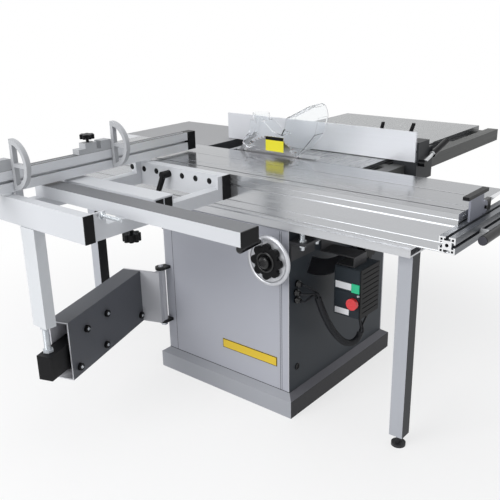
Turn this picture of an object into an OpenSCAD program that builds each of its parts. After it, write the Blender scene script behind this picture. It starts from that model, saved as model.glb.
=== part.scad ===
// Sliding table saw: cabinet saw with a sliding carriage, cross-cut frame and rip fence.
// Millimetres. The origin is on the floor under the middle of the plinth,
// +X is the operator's right, +Y the feed direction and +Z up.

/* [Cabinet] */
// Width of the plinth, across the feed
plinth_w = 700; // [660:1:760]
// Depth of the plinth, along the feed
plinth_d = 650; // [620:1:700]
// Height of the plinth's upright flange
plinth_h = 66; // [40:1:90]
// Height of the plinth's sloping shoulder
shoulder_h = 18; // [10:1:30]
// Setback of the cabinet walls from the plinth
wall_inset = 25; // [15:1:35]
// Thickness of the cabinet sheet
sheet = 3; // [2:0.5:5]

/* [Tables] */
// Height of the table tops above the floor
table_z = 857; // [820:1:900]
// Thickness of the cast tables
table_t = 45; // [35:1:55]
// Front edge of the main table
table_front = -390; // [-420:1:-380]
// Depth of the main table along the feed
table_d = 600; // [560:1:640]
// Right edge of the main table
table_right = 527; // [480:1:560]
// Width of the right extension table
right_w = 473; // [400:1:560]
// Depth of the right extension table
right_d = 690; // [640:1:740]
// Width of the outfeed table
rear_w = 400; // [340:1:440]
// Depth of the outfeed table
rear_d = 500; // [440:1:560]
// Gap between the main table and the outfeed table
rear_gap = 110; // [60:1:140]

/* [Saw unit] */
// Radius of the saw blade
blade_r = 150; // [135:1:152]
// Thickness of the saw blade
blade_t = 3; // [2:0.1:3.6]
// Number of teeth
teeth = 60; // [40:1:72]
// Blade height above the table as built
blade_up = 68; // [40:1:70]
// Distance of the blade from the sliding carriage
blade_gap = 15; // [12:1:16]
// Radius of the motor
motor_r = 66; // [55:1:70]
// Length of the motor
motor_l = 200; // [160:1:220]

/* [Slider] */
// Width of the sliding carriage
carriage_w = 322; // [300:1:350]
// Height of the sliding carriage
carriage_h = 117; // [110:1:125]
// Length of the sliding carriage
carriage_l = 1600; // [1400:1:1800]
// Front end of the carriage
carriage_front = -880; // [-920:1:-860]
// Length of the fixed base beam
base_l = 1590; // [1500:1:1640]
// Front end of the base beam
base_front = -740; // [-760:1:-720]
// Height of the base beam
base_h = 38; // [30:1:46]
// Side of the square leg tube
leg_w = 48; // [40:1:56]

/* [Cross-cut frame] */
// Left face of the outer beam
outer_x = -965; // [-1000:1:-940]
// Width of the outer beam
outer_w = 34; // [30:1:40]
// Height of the frame's side rails
rail_h = 82; // [76:1:86]
// Front end of the frame
frame_front = -70; // [-90:1:-60]
// Length of the frame along the feed
frame_l = 450; // [430:1:480]
// Height of the cross-cut fence profile
fence_h = 68; // [60:1:76]
// Thickness of the cross-cut fence profile
fence_t = 36; // [30:1:42]
// Left end of the cross-cut fence
fence_left = -1230; // [-1300:1:-1150]
// Radius of the flip stops
stop_r = 79; // [76:1:82]

/* [Swing arm] */
// Height of the arm box
arm_h = 210; // [200:1:220]
// Thickness of the arm box
arm_t = 75; // [70:1:80]
// Length of the arm box from its hinge
arm_l = 530; // [500:1:560]

/* [Rip fence] */
// Height of the rip fence face above the table
face_h = 108; // [90:1:110]
// Length of the rip fence face
face_l = 862; // [800:1:880]
// Working face of the rip fence
face_x = 141; // [141:1:180]
// Right end of the fence rail
rail_right = 1020; // [1005:1:1060]

/* [Controls] */
// Radius of the tilt handwheel
wheel_r = 87; // [75:1:92]
// Height of the switch box
switch_h = 182; // [160:1:190]
// Width of the switch box face
switch_w = 107; // [95:1:110]
// Depth of the switch box
switch_d = 125; // [110:1:130]

/* [Hidden] */
$fn = 48;
// General clearances
run_gap = 0.3;
fit_gap = 0.05;
over = 1;
// Shares of a whole or half
half_share = 0.5;
// Plinth and cabinet outline
px0 = -plinth_w * half_share;
px1 = plinth_w * half_share;
py0 = -plinth_d * half_share;
py1 = plinth_d * half_share;
cx0 = px0 + wall_inset;
cx1 = px1 - wall_inset;
cy0 = py0 + wall_inset;
cy1 = py1 - wall_inset;
cz0 = plinth_h + shoulder_h;
foot_flange_w = 60;
foot_flange_t = 5;
anchor_inset = 40;
anchor_r = 7;
// Heights of the slider, from the table top down
carriage_z = table_z - carriage_h;
rod_proud = 5;
rod_r = 7;
base_top = carriage_z - rod_proud;
base_bot = base_top - base_h;
deck_gap = 7;
cz1 = base_bot - deck_gap;
table_bot = table_z - table_t;
// Widths of the slider
carriage_right = -30;
blade_x = carriage_right + blade_gap;
carriage_left = carriage_right - carriage_w;
wing_t = 19;
body_w = 170;
body_right = carriage_left + body_w;
base_in = 12;
base_left = carriage_left + base_in;
base_back = 15;
base_right = body_right - base_back;
base_rear = base_front + base_l;
carriage_rear = carriage_front + carriage_l;
rod_inset = 22;
// Main table
slit = 3;
table_left = carriage_right + slit;
table_rear = table_front + table_d;
table_skin = 14;
table_rim = 12;
table_rib = 10;
insert_off = 7;
insert_x0 = blade_x + insert_off;
insert_w = 58;
insert_y0 = -190;
insert_y1 = 190;
insert_t = 6;
insert_ledge = 8;
// Upper housing of the cabinet
up_x0 = 60;
up_back = 10;
up_y1 = table_rear - up_back;
deck_off = 9;
deck_left = base_right + deck_off;
// Saw unit places
blade_y = 12;
blade_z = table_z + blade_up - blade_r;
pivot_x = blade_x;
pivot_z = table_z;
slot_r = 370;
slot_half = 31;
slot_a = 31;
knob_a = 22.5;
knob_x = pivot_x + slot_r * sin(knob_a);
knob_z = pivot_z - slot_r * cos(knob_a);
// Tilt shaft
wheel_y = -261;
wheel_drop = 259;
wheel_z = pivot_z - wheel_drop;
wheel_out = 62;
wheel_x = cx0 - wheel_out;
shaft_r = 9;
// Swing arm hinge
pin_out = 32;
pin_x = cx0 - pin_out;
pin_y = 293;
pin_r = 9;
arm_a = 19.4;
arm_z0 = 222;
arm_off = 70;
lug_t = 10;
lug_gap = 1;

function arc(r, a0, a1, n) = [for (i = [0:n]) r * [cos(a0 + (a1 - a0) * i / n), sin(a0 + (a1 - a0) * i / n)]];

module box(lo, hi) { translate(lo) cube(hi - lo); }
module rod_x(x0, x1, y, z, r) { translate([x0, y, z]) rotate([0, 90, 0]) cylinder(r = r, h = x1 - x0); }
module rod_y(y0, y1, x, z, r) { translate([x, y1, z]) rotate([90, 0, 0]) cylinder(r = r, h = y1 - y0); }
module rod_z(z0, z1, x, y, r) { translate([x, y, z0]) cylinder(r = r, h = z1 - z0); }
// Ring sector about the tilt axis; angles count from straight down towards +X
module tilt_arc(r0, r1, a0, a1, y0, y1) {
    translate([pivot_x, y1, pivot_z]) rotate([90, 0, 0]) rotate([0, 0, a0 - 90])
        rotate_extrude(angle = a1 - a0, $fn = 96) translate([r0, 0]) square([r1 - r0, y1 - y0]);
}
// Closed profile in X and Z, drawn out along Y
module along_y(y0, y1) { translate([0, y1, 0]) rotate([90, 0, 0]) linear_extrude(y1 - y0) children(); }
// Closed profile in Y and Z, drawn out along X
module along_x(x0, x1) { translate([x0, 0, 0]) rotate([90, 0, 90]) linear_extrude(x1 - x0) children(); }

// Plinth: hollow sheet base with a sloping shoulder and four anchor holes
top_lip = 12;
module plinth() color("dimgray") difference() {
    union() {
        box([px0, py0, 0], [px1, py1, plinth_h]);
        hull() {
            box([px0, py0, plinth_h - sheet], [px1, py1, plinth_h]);
            box([cx0, cy0, cz0 - sheet], [cx1, cy1, cz0]);
        }
    }
    box([px0 + sheet, py0 + sheet, foot_flange_t], [px1 - sheet, py1 - sheet, plinth_h - sheet]);
    box([cx0 + top_lip, cy0 + top_lip, foot_flange_t], [cx1 - top_lip, cy1 - top_lip, cz0 + over]);
    box([px0 + foot_flange_w, py0 + foot_flange_w, -over],
        [px1 - foot_flange_w, py1 - foot_flange_w, foot_flange_t + over]);
    for (x = [px0 + anchor_inset, px1 - anchor_inset], y = [py0 + anchor_inset, py1 - anchor_inset])
        rod_z(-over, foot_flange_t + over, x, y, anchor_r);
}

// Cabinet: sheet box with a raised housing under the table, arm lugs and a shaft bracket
lug_w = 22;
lug_z0 = arm_z0 - lug_gap - lug_t;
lug_z1 = arm_z0 + arm_h + lug_gap;
worm_r = 15;
worm_l = 60;
worm_off = 35;
worm_x1 = blade_x + worm_off;
bearing_t = 10;
bearing_half = 15;
module arm_lug(z) {
    difference() {
        hull() {
            rod_z(z, z + lug_t, pin_x, pin_y, lug_w);
            box([cx0 - over, pin_y - lug_w, z], [cx0 + sheet, cy1, z + lug_t]);
        }
        rod_z(z - over, z + lug_t + over, pin_x, pin_y, pin_r + fit_gap);
    }
}
module cabinet() color("gray") {
    difference() {
        union() {
            box([cx0, cy0, cz0], [cx1, cy1, cz1]);
            box([up_x0, cy0, cz1 - over], [cx1, up_y1, table_bot]);
        }
        box([cx0 + sheet, cy0 + sheet, cz0 - over], [cx1 - sheet, cy1 - sheet, cz1 - sheet]);
        box([deck_left, cy0 + sheet, cz1 - sheet - over], [cx1 - sheet, up_y1 - sheet, cz1 + over]);
        box([up_x0 - over, cy0 + sheet, cz1 - sheet - over], [cx1 - sheet, up_y1 - sheet, table_bot + over]);
        tilt_arc(slot_r - slot_half, slot_r + slot_half, -slot_a, slot_a, cy0 - over, cy0 + sheet + over);
        rod_x(cx0 - over, cx0 + sheet + over, wheel_y, wheel_z, shaft_r + fit_gap);
    }
    arm_lug(lug_z0);
    arm_lug(lug_z1);
    difference() {
        box([worm_x1 + run_gap, cy0 + sheet - over, wheel_z - bearing_half],
            [worm_x1 + run_gap + bearing_t, wheel_y + bearing_half, wheel_z + bearing_half]);
        rod_x(worm_x1 - over, worm_x1 + bearing_t + 2 * over, wheel_y, wheel_z, shaft_r + fit_gap);
    }
}

// Tables
rib_shares = [0.62, 0.8];
module main_table() color("darkgray") difference() {
    box([table_left, table_front, table_bot], [table_right, table_rear, table_z]);
    difference() {
        box([table_left + table_rim, table_front + table_rim, table_bot - over],
            [table_right - table_rim, table_rear - table_rim, table_z - table_skin]);
        for (s = rib_shares) {
            x = table_left + s * (table_right - table_left);
            box([x, table_front, table_bot - over], [x + table_rib, table_rear, table_z]);
        }
    }
    box([table_left - over, insert_y0, table_bot - over], [insert_x0, insert_y1, table_z + over]);
    box([insert_x0 - over, insert_y0, table_z - insert_t], [insert_x0 + insert_w, insert_y1, table_z + over]);
    box([insert_x0 - over, insert_y0 + insert_ledge, table_bot - over],
        [insert_x0 + insert_w - insert_ledge, insert_y1 - insert_ledge, table_z]);
}
module table_insert() color("silver")
    box([insert_x0, insert_y0 + run_gap, table_z - insert_t],
        [insert_x0 + insert_w - run_gap, insert_y1 - run_gap, table_z]);
// Hollow table board: a skin with a folded rim and two cross ribs
board_skin = 10;
board_rim = 8;
board_rib_shares = [0.33, 0.67];
module board(lo, hi) difference() {
    box(lo, hi);
    difference() {
        box([lo.x + board_rim, lo.y + board_rim, lo.z - over],
            [hi.x - board_rim, hi.y - board_rim, hi.z - board_skin]);
        for (s = board_rib_shares) {
            y = lo.y + s * (hi.y - lo.y);
            box([lo.x, y, lo.z - over], [hi.x, y + board_rim, hi.z]);
        }
    }
}
right_t = 36;
right_back = 5;
right_front = table_front + right_back;
module right_table() color("darkgray")
    board([table_right, right_front, table_z - right_t],
        [table_right + right_w, right_front + right_d, table_z]);
rear_y0 = table_rear + rear_gap;
module rear_table() color("darkgray")
    board([table_left, rear_y0, table_bot], [table_left + rear_w, rear_y0 + rear_d, table_z]);
// Outfeed arms: two angle arms from the main table's rear edge
rear_arm_w = 40;
rear_arm_h = 32;
rear_arm_t = 8;
rear_arm_shares = [0.12, 0.72];
rear_arm_over_share = 0.85;
module rear_table_arms() color("dimgray") for (s = rear_arm_shares) {
    x = table_left + s * rear_w;
    z = table_bot - rear_arm_h;
    box([x, table_rear, z], [x + rear_arm_w, table_rear + rear_arm_t, table_z - table_skin]);
    difference() {
        box([x, table_rear, z], [x + rear_arm_w, rear_y0 + rear_arm_over_share * rear_d, table_bot]);
        box([x + rear_arm_t, table_rear + rear_arm_t, z - over],
            [x + rear_arm_w + over, rear_y0 + rear_d, table_bot - rear_arm_t]);
    }
}

// Fence rail: hollow tube along the table fronts, with its brackets
rail_w = 45;
rail_t = 48;
rail_wall = 4;
rail_ahead = 74;
rail_front = table_front - rail_ahead;
rail_back = rail_front + rail_w;
rail_drop = 12;
rail_top = table_z - rail_drop;
rail_in = 6;
rail_left = carriage_right + rail_in;
bracket_w = 40;
bracket_shares = [0.1, 0.42, 0.6, 0.9];
module fence_rail() color("slategray") {
    difference() {
        box([rail_left, rail_front, rail_top - rail_t], [rail_right, rail_back, rail_top]);
        box([rail_left - over, rail_front + rail_wall, rail_top - rail_t + rail_wall],
            [rail_right - rail_wall, rail_back - rail_wall, rail_top - rail_wall]);
    }
    for (s = bracket_shares) {
        x = rail_left + s * (rail_right - rail_left);
        edge = x > table_right ? right_front : table_front;
        box([x, rail_back, table_z - right_t], [x + bracket_w, edge, rail_top]);
    }
}

// Base beam: hollow extrusion with two guide rods pressed into its top
base_wall = 5;
base_groove = 6;
cell_share = 1.5;
module base_beam() color("silver") {
    half_w = (base_right - base_left) * half_share;
    along_y(base_front, base_rear) difference() {
        translate([base_left, base_bot]) square([base_right - base_left, base_h]);
        for (x = [base_left + base_wall, base_left + half_w + half_share * base_wall])
            translate([x, base_bot + base_wall])
                square([half_w - cell_share * base_wall, base_h - 4 * base_wall]);
        translate([base_left - over, base_top - 2 * base_groove]) square([base_wall + over, base_groove]);
    }
    for (x = [base_left + rod_inset, base_right - rod_inset])
        rod_y(base_front, base_rear, x, carriage_z - run_gap - rod_r, rod_r);
}
// Beam brackets: folded shelves on the cabinet's front and back, with levelling bolts
shelf_l = 62;
shelf_t = 8;
shelf_drop = 34;
shelf_back_h = 70;
bolt_r = 8;
nut_r = 14;
nut_h = 8;
bolt_out = 38;
bolt_in_left = 35;
bolt_in_right = 25;
bolt_xs = [base_left + bolt_in_left, base_right - bolt_in_right];
bolt_tail_share = 2.5;
module shelf() {
    z1 = cz1 - shelf_drop;
    difference() {
        union() {
            box([cx0, -shelf_l, z1 - shelf_t], [deck_left, 0, z1]);
            box([cx0, -shelf_t, z1 - shelf_back_h], [deck_left, 0, z1]);
        }
        for (x = bolt_xs) rod_z(z1 - shelf_t - over, z1 + over, x, -bolt_out, bolt_r + fit_gap);
    }
}
module beam_brackets() color("dimgray") {
    translate([0, cy0, 0]) shelf();
    translate([0, cy1, 0]) mirror([0, 1, 0]) shelf();
}
module levelling_bolts() color("silver") for (x = bolt_xs, y = [cy0 - bolt_out, cy1 + bolt_out]) {
    z1 = cz1 - shelf_drop;
    rod_z(z1 - shelf_t - bolt_tail_share * nut_h, base_bot, x, y, bolt_r);
    translate([x, y, z1]) cylinder(r = nut_r, h = nut_h, $fn = 6);
    translate([x, y, z1 - shelf_t - nut_h]) cylinder(r = nut_r, h = nut_h, $fn = 6);
}
// Legs: square tubes under the beam ends, with a top plate and a levelling foot
leg_x = -252;
leg_in_front = 44;
leg_in_rear = 50;
leg_ys = [base_front + leg_in_front, base_rear - leg_in_rear];
leg_lift = 42;
leg_plate = 6;
leg_plate_w = 84;
foot_r = 24;
foot_h = 10;
stem_r = 8;
module legs() color("silver") for (y = leg_ys) {
    h = leg_w * half_share;
    difference() {
        box([leg_x - h, y - h, leg_lift], [leg_x + h, y + h, base_bot - leg_plate]);
        box([leg_x - h + sheet, y - h + sheet, leg_lift + sheet],
            [leg_x + h - sheet, y + h - sheet, base_bot - leg_plate]);
    }
    box([leg_x - leg_plate_w * half_share, y - h, base_bot - leg_plate - over],
        [leg_x + leg_plate_w * half_share, y + h, base_bot]);
    rod_z(foot_h - over, leg_lift + over, leg_x, y, stem_r);
    rod_z(0, foot_h, leg_x, y, foot_r);
}

// Trunnions: two fixed quadrants under the table
ring_r = 240;
ring_w = 22;
quad_t = 15.5;
quad_a0 = -40;
quad_a1 = 76;
front_y = -206;
rear_plane_y = 170;
quad_foot_w = 40;
web_step = 16;
module quadrant(y) {
    tilt_arc(ring_r, ring_r + ring_w, quad_a0, quad_a1, y, y + quad_t);
    x = pivot_x + (ring_r + half_share * ring_w) * sin(quad_a1);
    box([x - quad_foot_w * half_share, y, table_bot - quad_foot_w],
        [x + quad_foot_w * half_share, y + quad_t, table_z - table_skin]);
}
module trunnions() color("dimgray") {
    quadrant(front_y);
    quadrant(rear_plane_y + web_step - quad_t);
}

// Tilt frame: two webs that ride inside the quadrants, guide columns, tie bar and worm sector
web_t = 12;
web_x0 = 65;
web_x1 = 135;
web_low = 387;
web_z0 = table_z - web_low;
web_l = 190;
web_top = web_z0 + web_l;
arc_r0 = 200;
arc_a0 = 18;
arc_a1 = 60;
col_x = 100;
col_ys = [-70, 120];
col_r = 12;
col_drop = 57;
col_z1 = table_z - col_drop;
shelf_up = 75;
shelf_z = web_z0 + shelf_up;
shelf_h = 15;
col_pad = 25;
tie_h = 25;
gear_t = 18;
gear_y = wheel_y - gear_t * half_share;
gear_r0 = 225;
gear_step = 20;
gear_a = 47;
knob_shaft_r = 8;
front_web_y = front_y + web_step;
knife_t = 2.5;
knife_gap = 9;
knife_w = 16;
knife_r0 = blade_r + knife_gap;
knife_r1 = knife_r0 + knife_w;
knife_drop = 217;
knife_low = table_z - knife_drop;
holder_h = 24;
holder_in = 18;
rear_web_y = rear_plane_y - web_t;
module tilt_frame() color("slategray") {
    difference() {
        union() {
            tilt_arc(arc_r0, ring_r - run_gap, arc_a0, arc_a1, front_y, front_web_y + web_t);
            tilt_arc(arc_r0, ring_r - run_gap, arc_a0, arc_a1, rear_web_y, rear_plane_y + web_step);
            box([web_x0, front_web_y, web_z0], [web_x1, front_web_y + web_t, web_top]);
            box([web_x0, rear_web_y, web_z0], [web_x1, rear_web_y + web_t, web_top]);
            box([web_x0, front_web_y, web_z0], [web_x1, rear_web_y + web_t, web_z0 + tie_h]);
            box([col_x - col_pad, front_web_y, shelf_z],
                [col_x + col_pad, col_ys[0] + col_pad, shelf_z + shelf_h]);
            box([col_x - col_pad, col_ys[1] - col_pad, shelf_z],
                [col_x + col_pad, rear_plane_y, shelf_z + shelf_h]);
            for (y = col_ys) rod_z(shelf_z, col_z1, col_x, y, col_r);
            box([blade_x + knife_t * half_share, blade_y + knife_r0, knife_low],
                [web_x0 + holder_in, rear_plane_y + web_step, knife_low + holder_h]);
            tilt_arc(gear_r0 - gear_step * half_share, gear_r0 + over, arc_a0 + over, gear_a - 5 * over,
                gear_y + gear_t - over, front_y + over);
            tilt_arc(gear_r0 - gear_step, pivot_z - wheel_z - worm_r - run_gap, 0, gear_a,
                gear_y, gear_y + gear_t);
        }
        rod_y(front_web_y - over, front_web_y + web_t + over, knob_x, knob_z, knob_shaft_r + fit_gap);
    }
}

// Tilt handwheel: rim and dished web on the worm shaft, with a crank and a lobed lock knob
rim_r = 8;
dish_t = 6;
dish_hub_r = 22;
dish_hub_l = 20;
crank_r = 71;
crank_a = 66;
crank_step = 2;
crank_pin_r = 4;
grip_l = 108;
grip_r = 13.5;
grip_neck_share = 0.6;
grip_shares = [0.82, 0.95];
lock_r = 62;
lock_n = 8;
lock_t = 14;
lock_boss_r = 22;
lock_boss_l = 24;
lock_x0 = wheel_x - dish_t * half_share - run_gap;
module tilt_handwheel() color("silver") {
    translate([wheel_x, wheel_y, wheel_z]) rotate([0, 90, 0]) {
        rotate_extrude() translate([wheel_r - rim_r, 0]) circle(r = rim_r);
        translate([0, 0, -dish_t * half_share]) cylinder(r = wheel_r - rim_r, h = dish_t);
        cylinder(r = dish_hub_r, h = dish_hub_l);
    }
    rod_x(lock_x0 - lock_t, worm_x1 + run_gap + bearing_t, wheel_y, wheel_z, shaft_r);
    rod_x(worm_x1 - worm_l, worm_x1, wheel_y, wheel_z, worm_r);
    translate([wheel_x, wheel_y, wheel_z]) rotate([crank_a, 0, 0]) {
        rod_x(-rim_r - crank_step, 0, crank_r, 0, rim_r + over);
        rod_x(-rim_r - crank_step - grip_l * half_share, 0, crank_r, 0, crank_pin_r);
    }
}
module wheel_knob() color([0.1, 0.1, 0.1]) difference() {
    union() {
        translate([lock_x0, wheel_y, wheel_z]) rotate([0, -90, 0]) {
            lobes(lock_r, lock_t, lock_n);
        }
        rod_x(lock_x0 - lock_boss_l, lock_x0, wheel_y, wheel_z, lock_boss_r);
    }
    rod_x(lock_x0 - lock_t - over, lock_x0 + over, wheel_y, wheel_z, shaft_r + fit_gap);
}
module crank_grip() color([0.1, 0.1, 0.1]) translate([wheel_x, wheel_y, wheel_z]) rotate([crank_a, 0, 0])
    translate([-rim_r - crank_step - run_gap, crank_r, 0]) rotate([0, -90, 0]) difference() {
        rotate_extrude() polygon([[0, 0], [grip_r * grip_neck_share, 0], [grip_r, grip_l * grip_shares[0]],
            [grip_r, grip_l * grip_shares[1]], [grip_r * grip_neck_share, grip_l], [0, grip_l]]);
        translate([0, 0, -over]) cylinder(r = crank_pin_r + fit_gap, h = grip_l * half_share + 2 * over);
    }

// Height knob: lobed star knob on a shaft through the curved slot
star_r = 34;
star_lobe_r = 11;
star_n = 8;
star_t = 32;
star_out = 18;
star_y = cy0 - star_out;
module height_knob() color([0.1, 0.1, 0.1]) {
    for (i = [0 : star_n - 1]) translate([knob_x, 0, knob_z]) rotate([0, i * 360 / star_n, 0])
        rod_y(star_y - star_t, star_y, star_r, 0, star_lobe_r);
    rod_y(star_y - star_t, star_y, knob_x, knob_z, star_r);
    rod_y(star_y - star_t, front_web_y + web_t + col_pad, knob_x, knob_z, knob_shaft_r);
    rod_y(front_web_y + web_t + run_gap, front_web_y + web_t + col_pad, knob_x, knob_z, 2 * knob_shaft_r);
}

// Saw unit: plate with the arbor housing, guide arms, motor plate and knife holder
unit_x0 = 8;
unit_x1 = 38;
unit_low = 85;
unit_high = 25;
unit_z0 = blade_z - unit_low;
unit_z1 = blade_z + unit_high;
unit_arm = 26;
arbor_r = 12;
house_r = 28;
house_gap = 8;
motor_y = 25;
motor_drop = 120;
motor_z = blade_z - motor_drop;
motor_plate_x = 64;
motor_plate_t = 10;
pulley_x = 43;
pulley_w = 16;
arbor_pulley_r = 33;
motor_pulley_r = 44;
belt_t = 5;
module saw_unit() color("gray") difference() {
    union() {
        box([unit_x0, col_ys[0] - unit_arm, unit_z0], [unit_x1, col_ys[1] + unit_arm, unit_z1]);
        for (y = col_ys)
            box([unit_x1 - over, y - unit_arm, unit_z0], [col_x + unit_arm, y + unit_arm, unit_z1]);
        rod_x(blade_x + blade_t * half_share + house_gap, unit_x1, blade_y, blade_z, house_r);
        box([motor_plate_x, col_ys[0] + unit_arm - over, motor_z - house_r * 2],
            [motor_plate_x + motor_plate_t, col_ys[1] - unit_arm + over, unit_z1]);
    }
    rod_x(blade_x, unit_x1 + over, blade_y, blade_z, arbor_r + fit_gap);
    for (y = col_ys) rod_z(unit_z0 - over, unit_z1 + over, col_x, y, col_r + fit_gap);
    rod_x(motor_plate_x - over, motor_plate_x + motor_plate_t + over, motor_y, motor_z, house_r);
    rod_x(motor_plate_x - over, motor_plate_x + motor_plate_t + over, blade_y, blade_z, house_r);
}
fin_n = 24;
fin_t = 3;
fin_h = 6;
module motor() color("dimgray") {
    x0 = motor_plate_x + motor_plate_t;
    rod_x(x0, x0 + motor_l, motor_y, motor_z, motor_r - fin_h);
    for (i = [0 : fin_n - 1]) translate([0, motor_y, motor_z]) rotate([i * 360 / fin_n, 0, 0])
        box([x0 + fin_h * 2, 0, -fin_t * half_share],
            [x0 + motor_l - fin_h * 4, motor_r - over, fin_t * half_share]);
    rod_x(x0 + motor_l - fin_h * 4, x0 + motor_l, motor_y, motor_z, motor_r);
    rod_x(x0, x0 + fin_h * 2, motor_y, motor_z, motor_r);
}
motor_shaft_r = 12;
pulley_rim = 2;
module motor_pulley() color("silver") {
    rod_x(pulley_x, pulley_x + pulley_w, motor_y, motor_z, motor_pulley_r);
    rod_x(pulley_x - pulley_rim, pulley_x, motor_y, motor_z, motor_pulley_r + belt_t);
    rod_x(pulley_x + pulley_w, pulley_x + pulley_w + pulley_rim, motor_y, motor_z, motor_pulley_r + belt_t);
    rod_x(pulley_x, motor_plate_x + motor_plate_t - run_gap, motor_y, motor_z, motor_shaft_r);
}
belt_slack = 0.4;
module belt_loop(d) hull() {
    translate([blade_y, blade_z]) circle(r = arbor_pulley_r + d);
    translate([motor_y, motor_z]) circle(r = motor_pulley_r + d);
}
module drive_belt() color([0.08, 0.08, 0.08])
    along_x(pulley_x + over, pulley_x + pulley_w - over) difference() {
        belt_loop(belt_slack + belt_t);
        belt_loop(belt_slack);
    }
flange_r = 22;
flange_t = 6;
nut_across = 13;
module arbor() color("silver") {
    bx0 = blade_x - blade_t * half_share;
    bx1 = blade_x + blade_t * half_share;
    rod_x(bx0 - flange_t - nut_h, pulley_x + pulley_w, blade_y, blade_z, arbor_r);
    rod_x(bx1, bx1 + flange_t, blade_y, blade_z, flange_r);
    rod_x(bx0 - flange_t, bx0, blade_y, blade_z, flange_r);
    translate([bx0 - flange_t - nut_h, blade_y, blade_z]) rotate([0, 90, 0])
        cylinder(r = nut_across, h = nut_h, $fn = 6);
    rod_x(pulley_x, pulley_x + pulley_w, blade_y, blade_z, arbor_pulley_r);
}
// Saw blade: toothed disc with four slits and a bore on the arbor
tooth_share = 0.05;
slit_w = 2.4;
slit_share = 0.86;
slit_n = 4;
slit_a = 40;
tooth_depth_shares = [0, 0.5, 1];
tooth_turn_shares = [0.06, 0.4, 0.94];
module saw_blade() color("lightgray")
    along_x(blade_x - blade_t * half_share, blade_x + blade_t * half_share) difference() {
        polygon([for (i = [0 : teeth - 1], j = [0 : 2])
            let (r = blade_r * (1 - tooth_share * tooth_depth_shares[j]),
                 a = (i + tooth_turn_shares[j]) * 360 / teeth)
            [blade_y + r * cos(a), blade_z + r * sin(a)]]);
        translate([blade_y, blade_z]) circle(r = arbor_r);
        for (i = [0 : slit_n - 1]) translate([blade_y, blade_z]) rotate([0, 0, i * 360 / slit_n + slit_a])
            translate([blade_r * slit_share, -slit_w * half_share]) square([blade_r, slit_w]);
    }
// Riving knife: curved plate behind the blade, held by the tilt frame
knife_a1 = 66;
guard_pin_a = 61;
guard_pin_r = 4;
guard_pin_y = blade_y + (knife_r0 + knife_r1) * half_share * cos(guard_pin_a);
guard_pin_z = blade_z + (knife_r0 + knife_r1) * half_share * sin(guard_pin_a);
module riving_knife() color("silver")
    along_x(blade_x - knife_t * half_share, blade_x + knife_t * half_share) difference() {
        union() {
            translate([blade_y, blade_z])
                polygon(concat(arc(knife_r1, 0, knife_a1, 24), arc(knife_r0, knife_a1, 0, 24)));
            translate([blade_y + knife_r0, knife_low])
                square([knife_r1 - knife_r0, blade_z - knife_low + over]);
        }
        translate([guard_pin_y, guard_pin_z]) circle(r = guard_pin_r + fit_gap);
    }

// Guard hood: hollow cover hinged on the knife, its lower edge cut to lie on the table when tilted
hood_y0 = -221;
hood_l = 349;
hood_lift = 5;
hood_z0 = table_z + hood_lift;
hood_h = 196;
hood_half = 30;
hood_wall = 3;
hood_shares = [[0.931, 0.082], [1, 0.158], [0.977, 0.255], [0.92, 0.347], [0.897, 0.449], [0.885, 0.628],
    [0.705, 0.628], [0.656, 0.561], [0.579, 0.454], [0.467, 0.403], [0.433, 0.51], [0.404, 0.719],
    [0.123, 0.969], [0.0745, 1], [0.037, 0.974], [0.0115, 0.883], [0, 0.781], [0.043, 0.464], [0.183, 0.179],
    [0.292, 0], [0.347, 0.112], [0.433, 0.061]];
hood_open_shares = [0.36, 0.9, 0.16];
hood_slot = 6;
hood_bevel = 3;
hood_open_a = 30;
port_r = 33;
port_y = 57;
port_low = 118;
port_high = 151;
port_z0 = table_z + port_low;
port_z1 = table_z + port_high;
module hood_outline() polygon([for (p = hood_shares) [hood_y0 + p[0] * hood_l, hood_z0 + p[1] * hood_h]]);
module hood_chamfer() along_y(hood_y0 - over, hood_y0 + hood_l + over) polygon([
    [blade_x, table_z], [blade_x, table_z + hood_bevel],
    [blade_x + 2 * hood_half, table_z + hood_bevel + 2 * hood_half],
    [blade_x + 2 * hood_half, table_z]]);
module guard_hood() color([0.12, 0.13, 0.15]) {
    x0 = blade_x - hood_half;
    x1 = blade_x + hood_half;
    difference() {
        union() {
            along_x(x0, x1) hood_outline();
            rod_z(port_z0, port_z1, blade_x, port_y, port_r);
        }
        along_x(x0 + hood_wall, x1 - hood_wall) offset(delta = -hood_wall) hood_outline();
        rod_z(port_z0 - hood_wall, port_z1 + over, blade_x, port_y, port_r - hood_wall);
        box([x0 + hood_wall, hood_y0 + hood_l * hood_open_shares[0], table_z],
            [x1 - hood_wall, hood_y0 + hood_l * hood_open_shares[1], hood_z0 + hood_h * hood_open_shares[2]]);
        box([blade_x - hood_slot, port_y, table_z],
            [blade_x + hood_slot, hood_y0 + hood_l + over, guard_pin_z + 4 * hood_slot]);
        rod_x(blade_x - hood_slot, blade_x + hood_slot, blade_y, blade_z, blade_r + 2 * hood_slot);
        hood_chamfer();
        translate([0, guard_pin_y, guard_pin_z]) rotate([hood_open_a, 0, 0])
            translate([0, -guard_pin_y, -guard_pin_z]) hood_chamfer();
    }
    rod_x(x0 + over, x1 - over, guard_pin_y, guard_pin_z, guard_pin_r);
}

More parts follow.
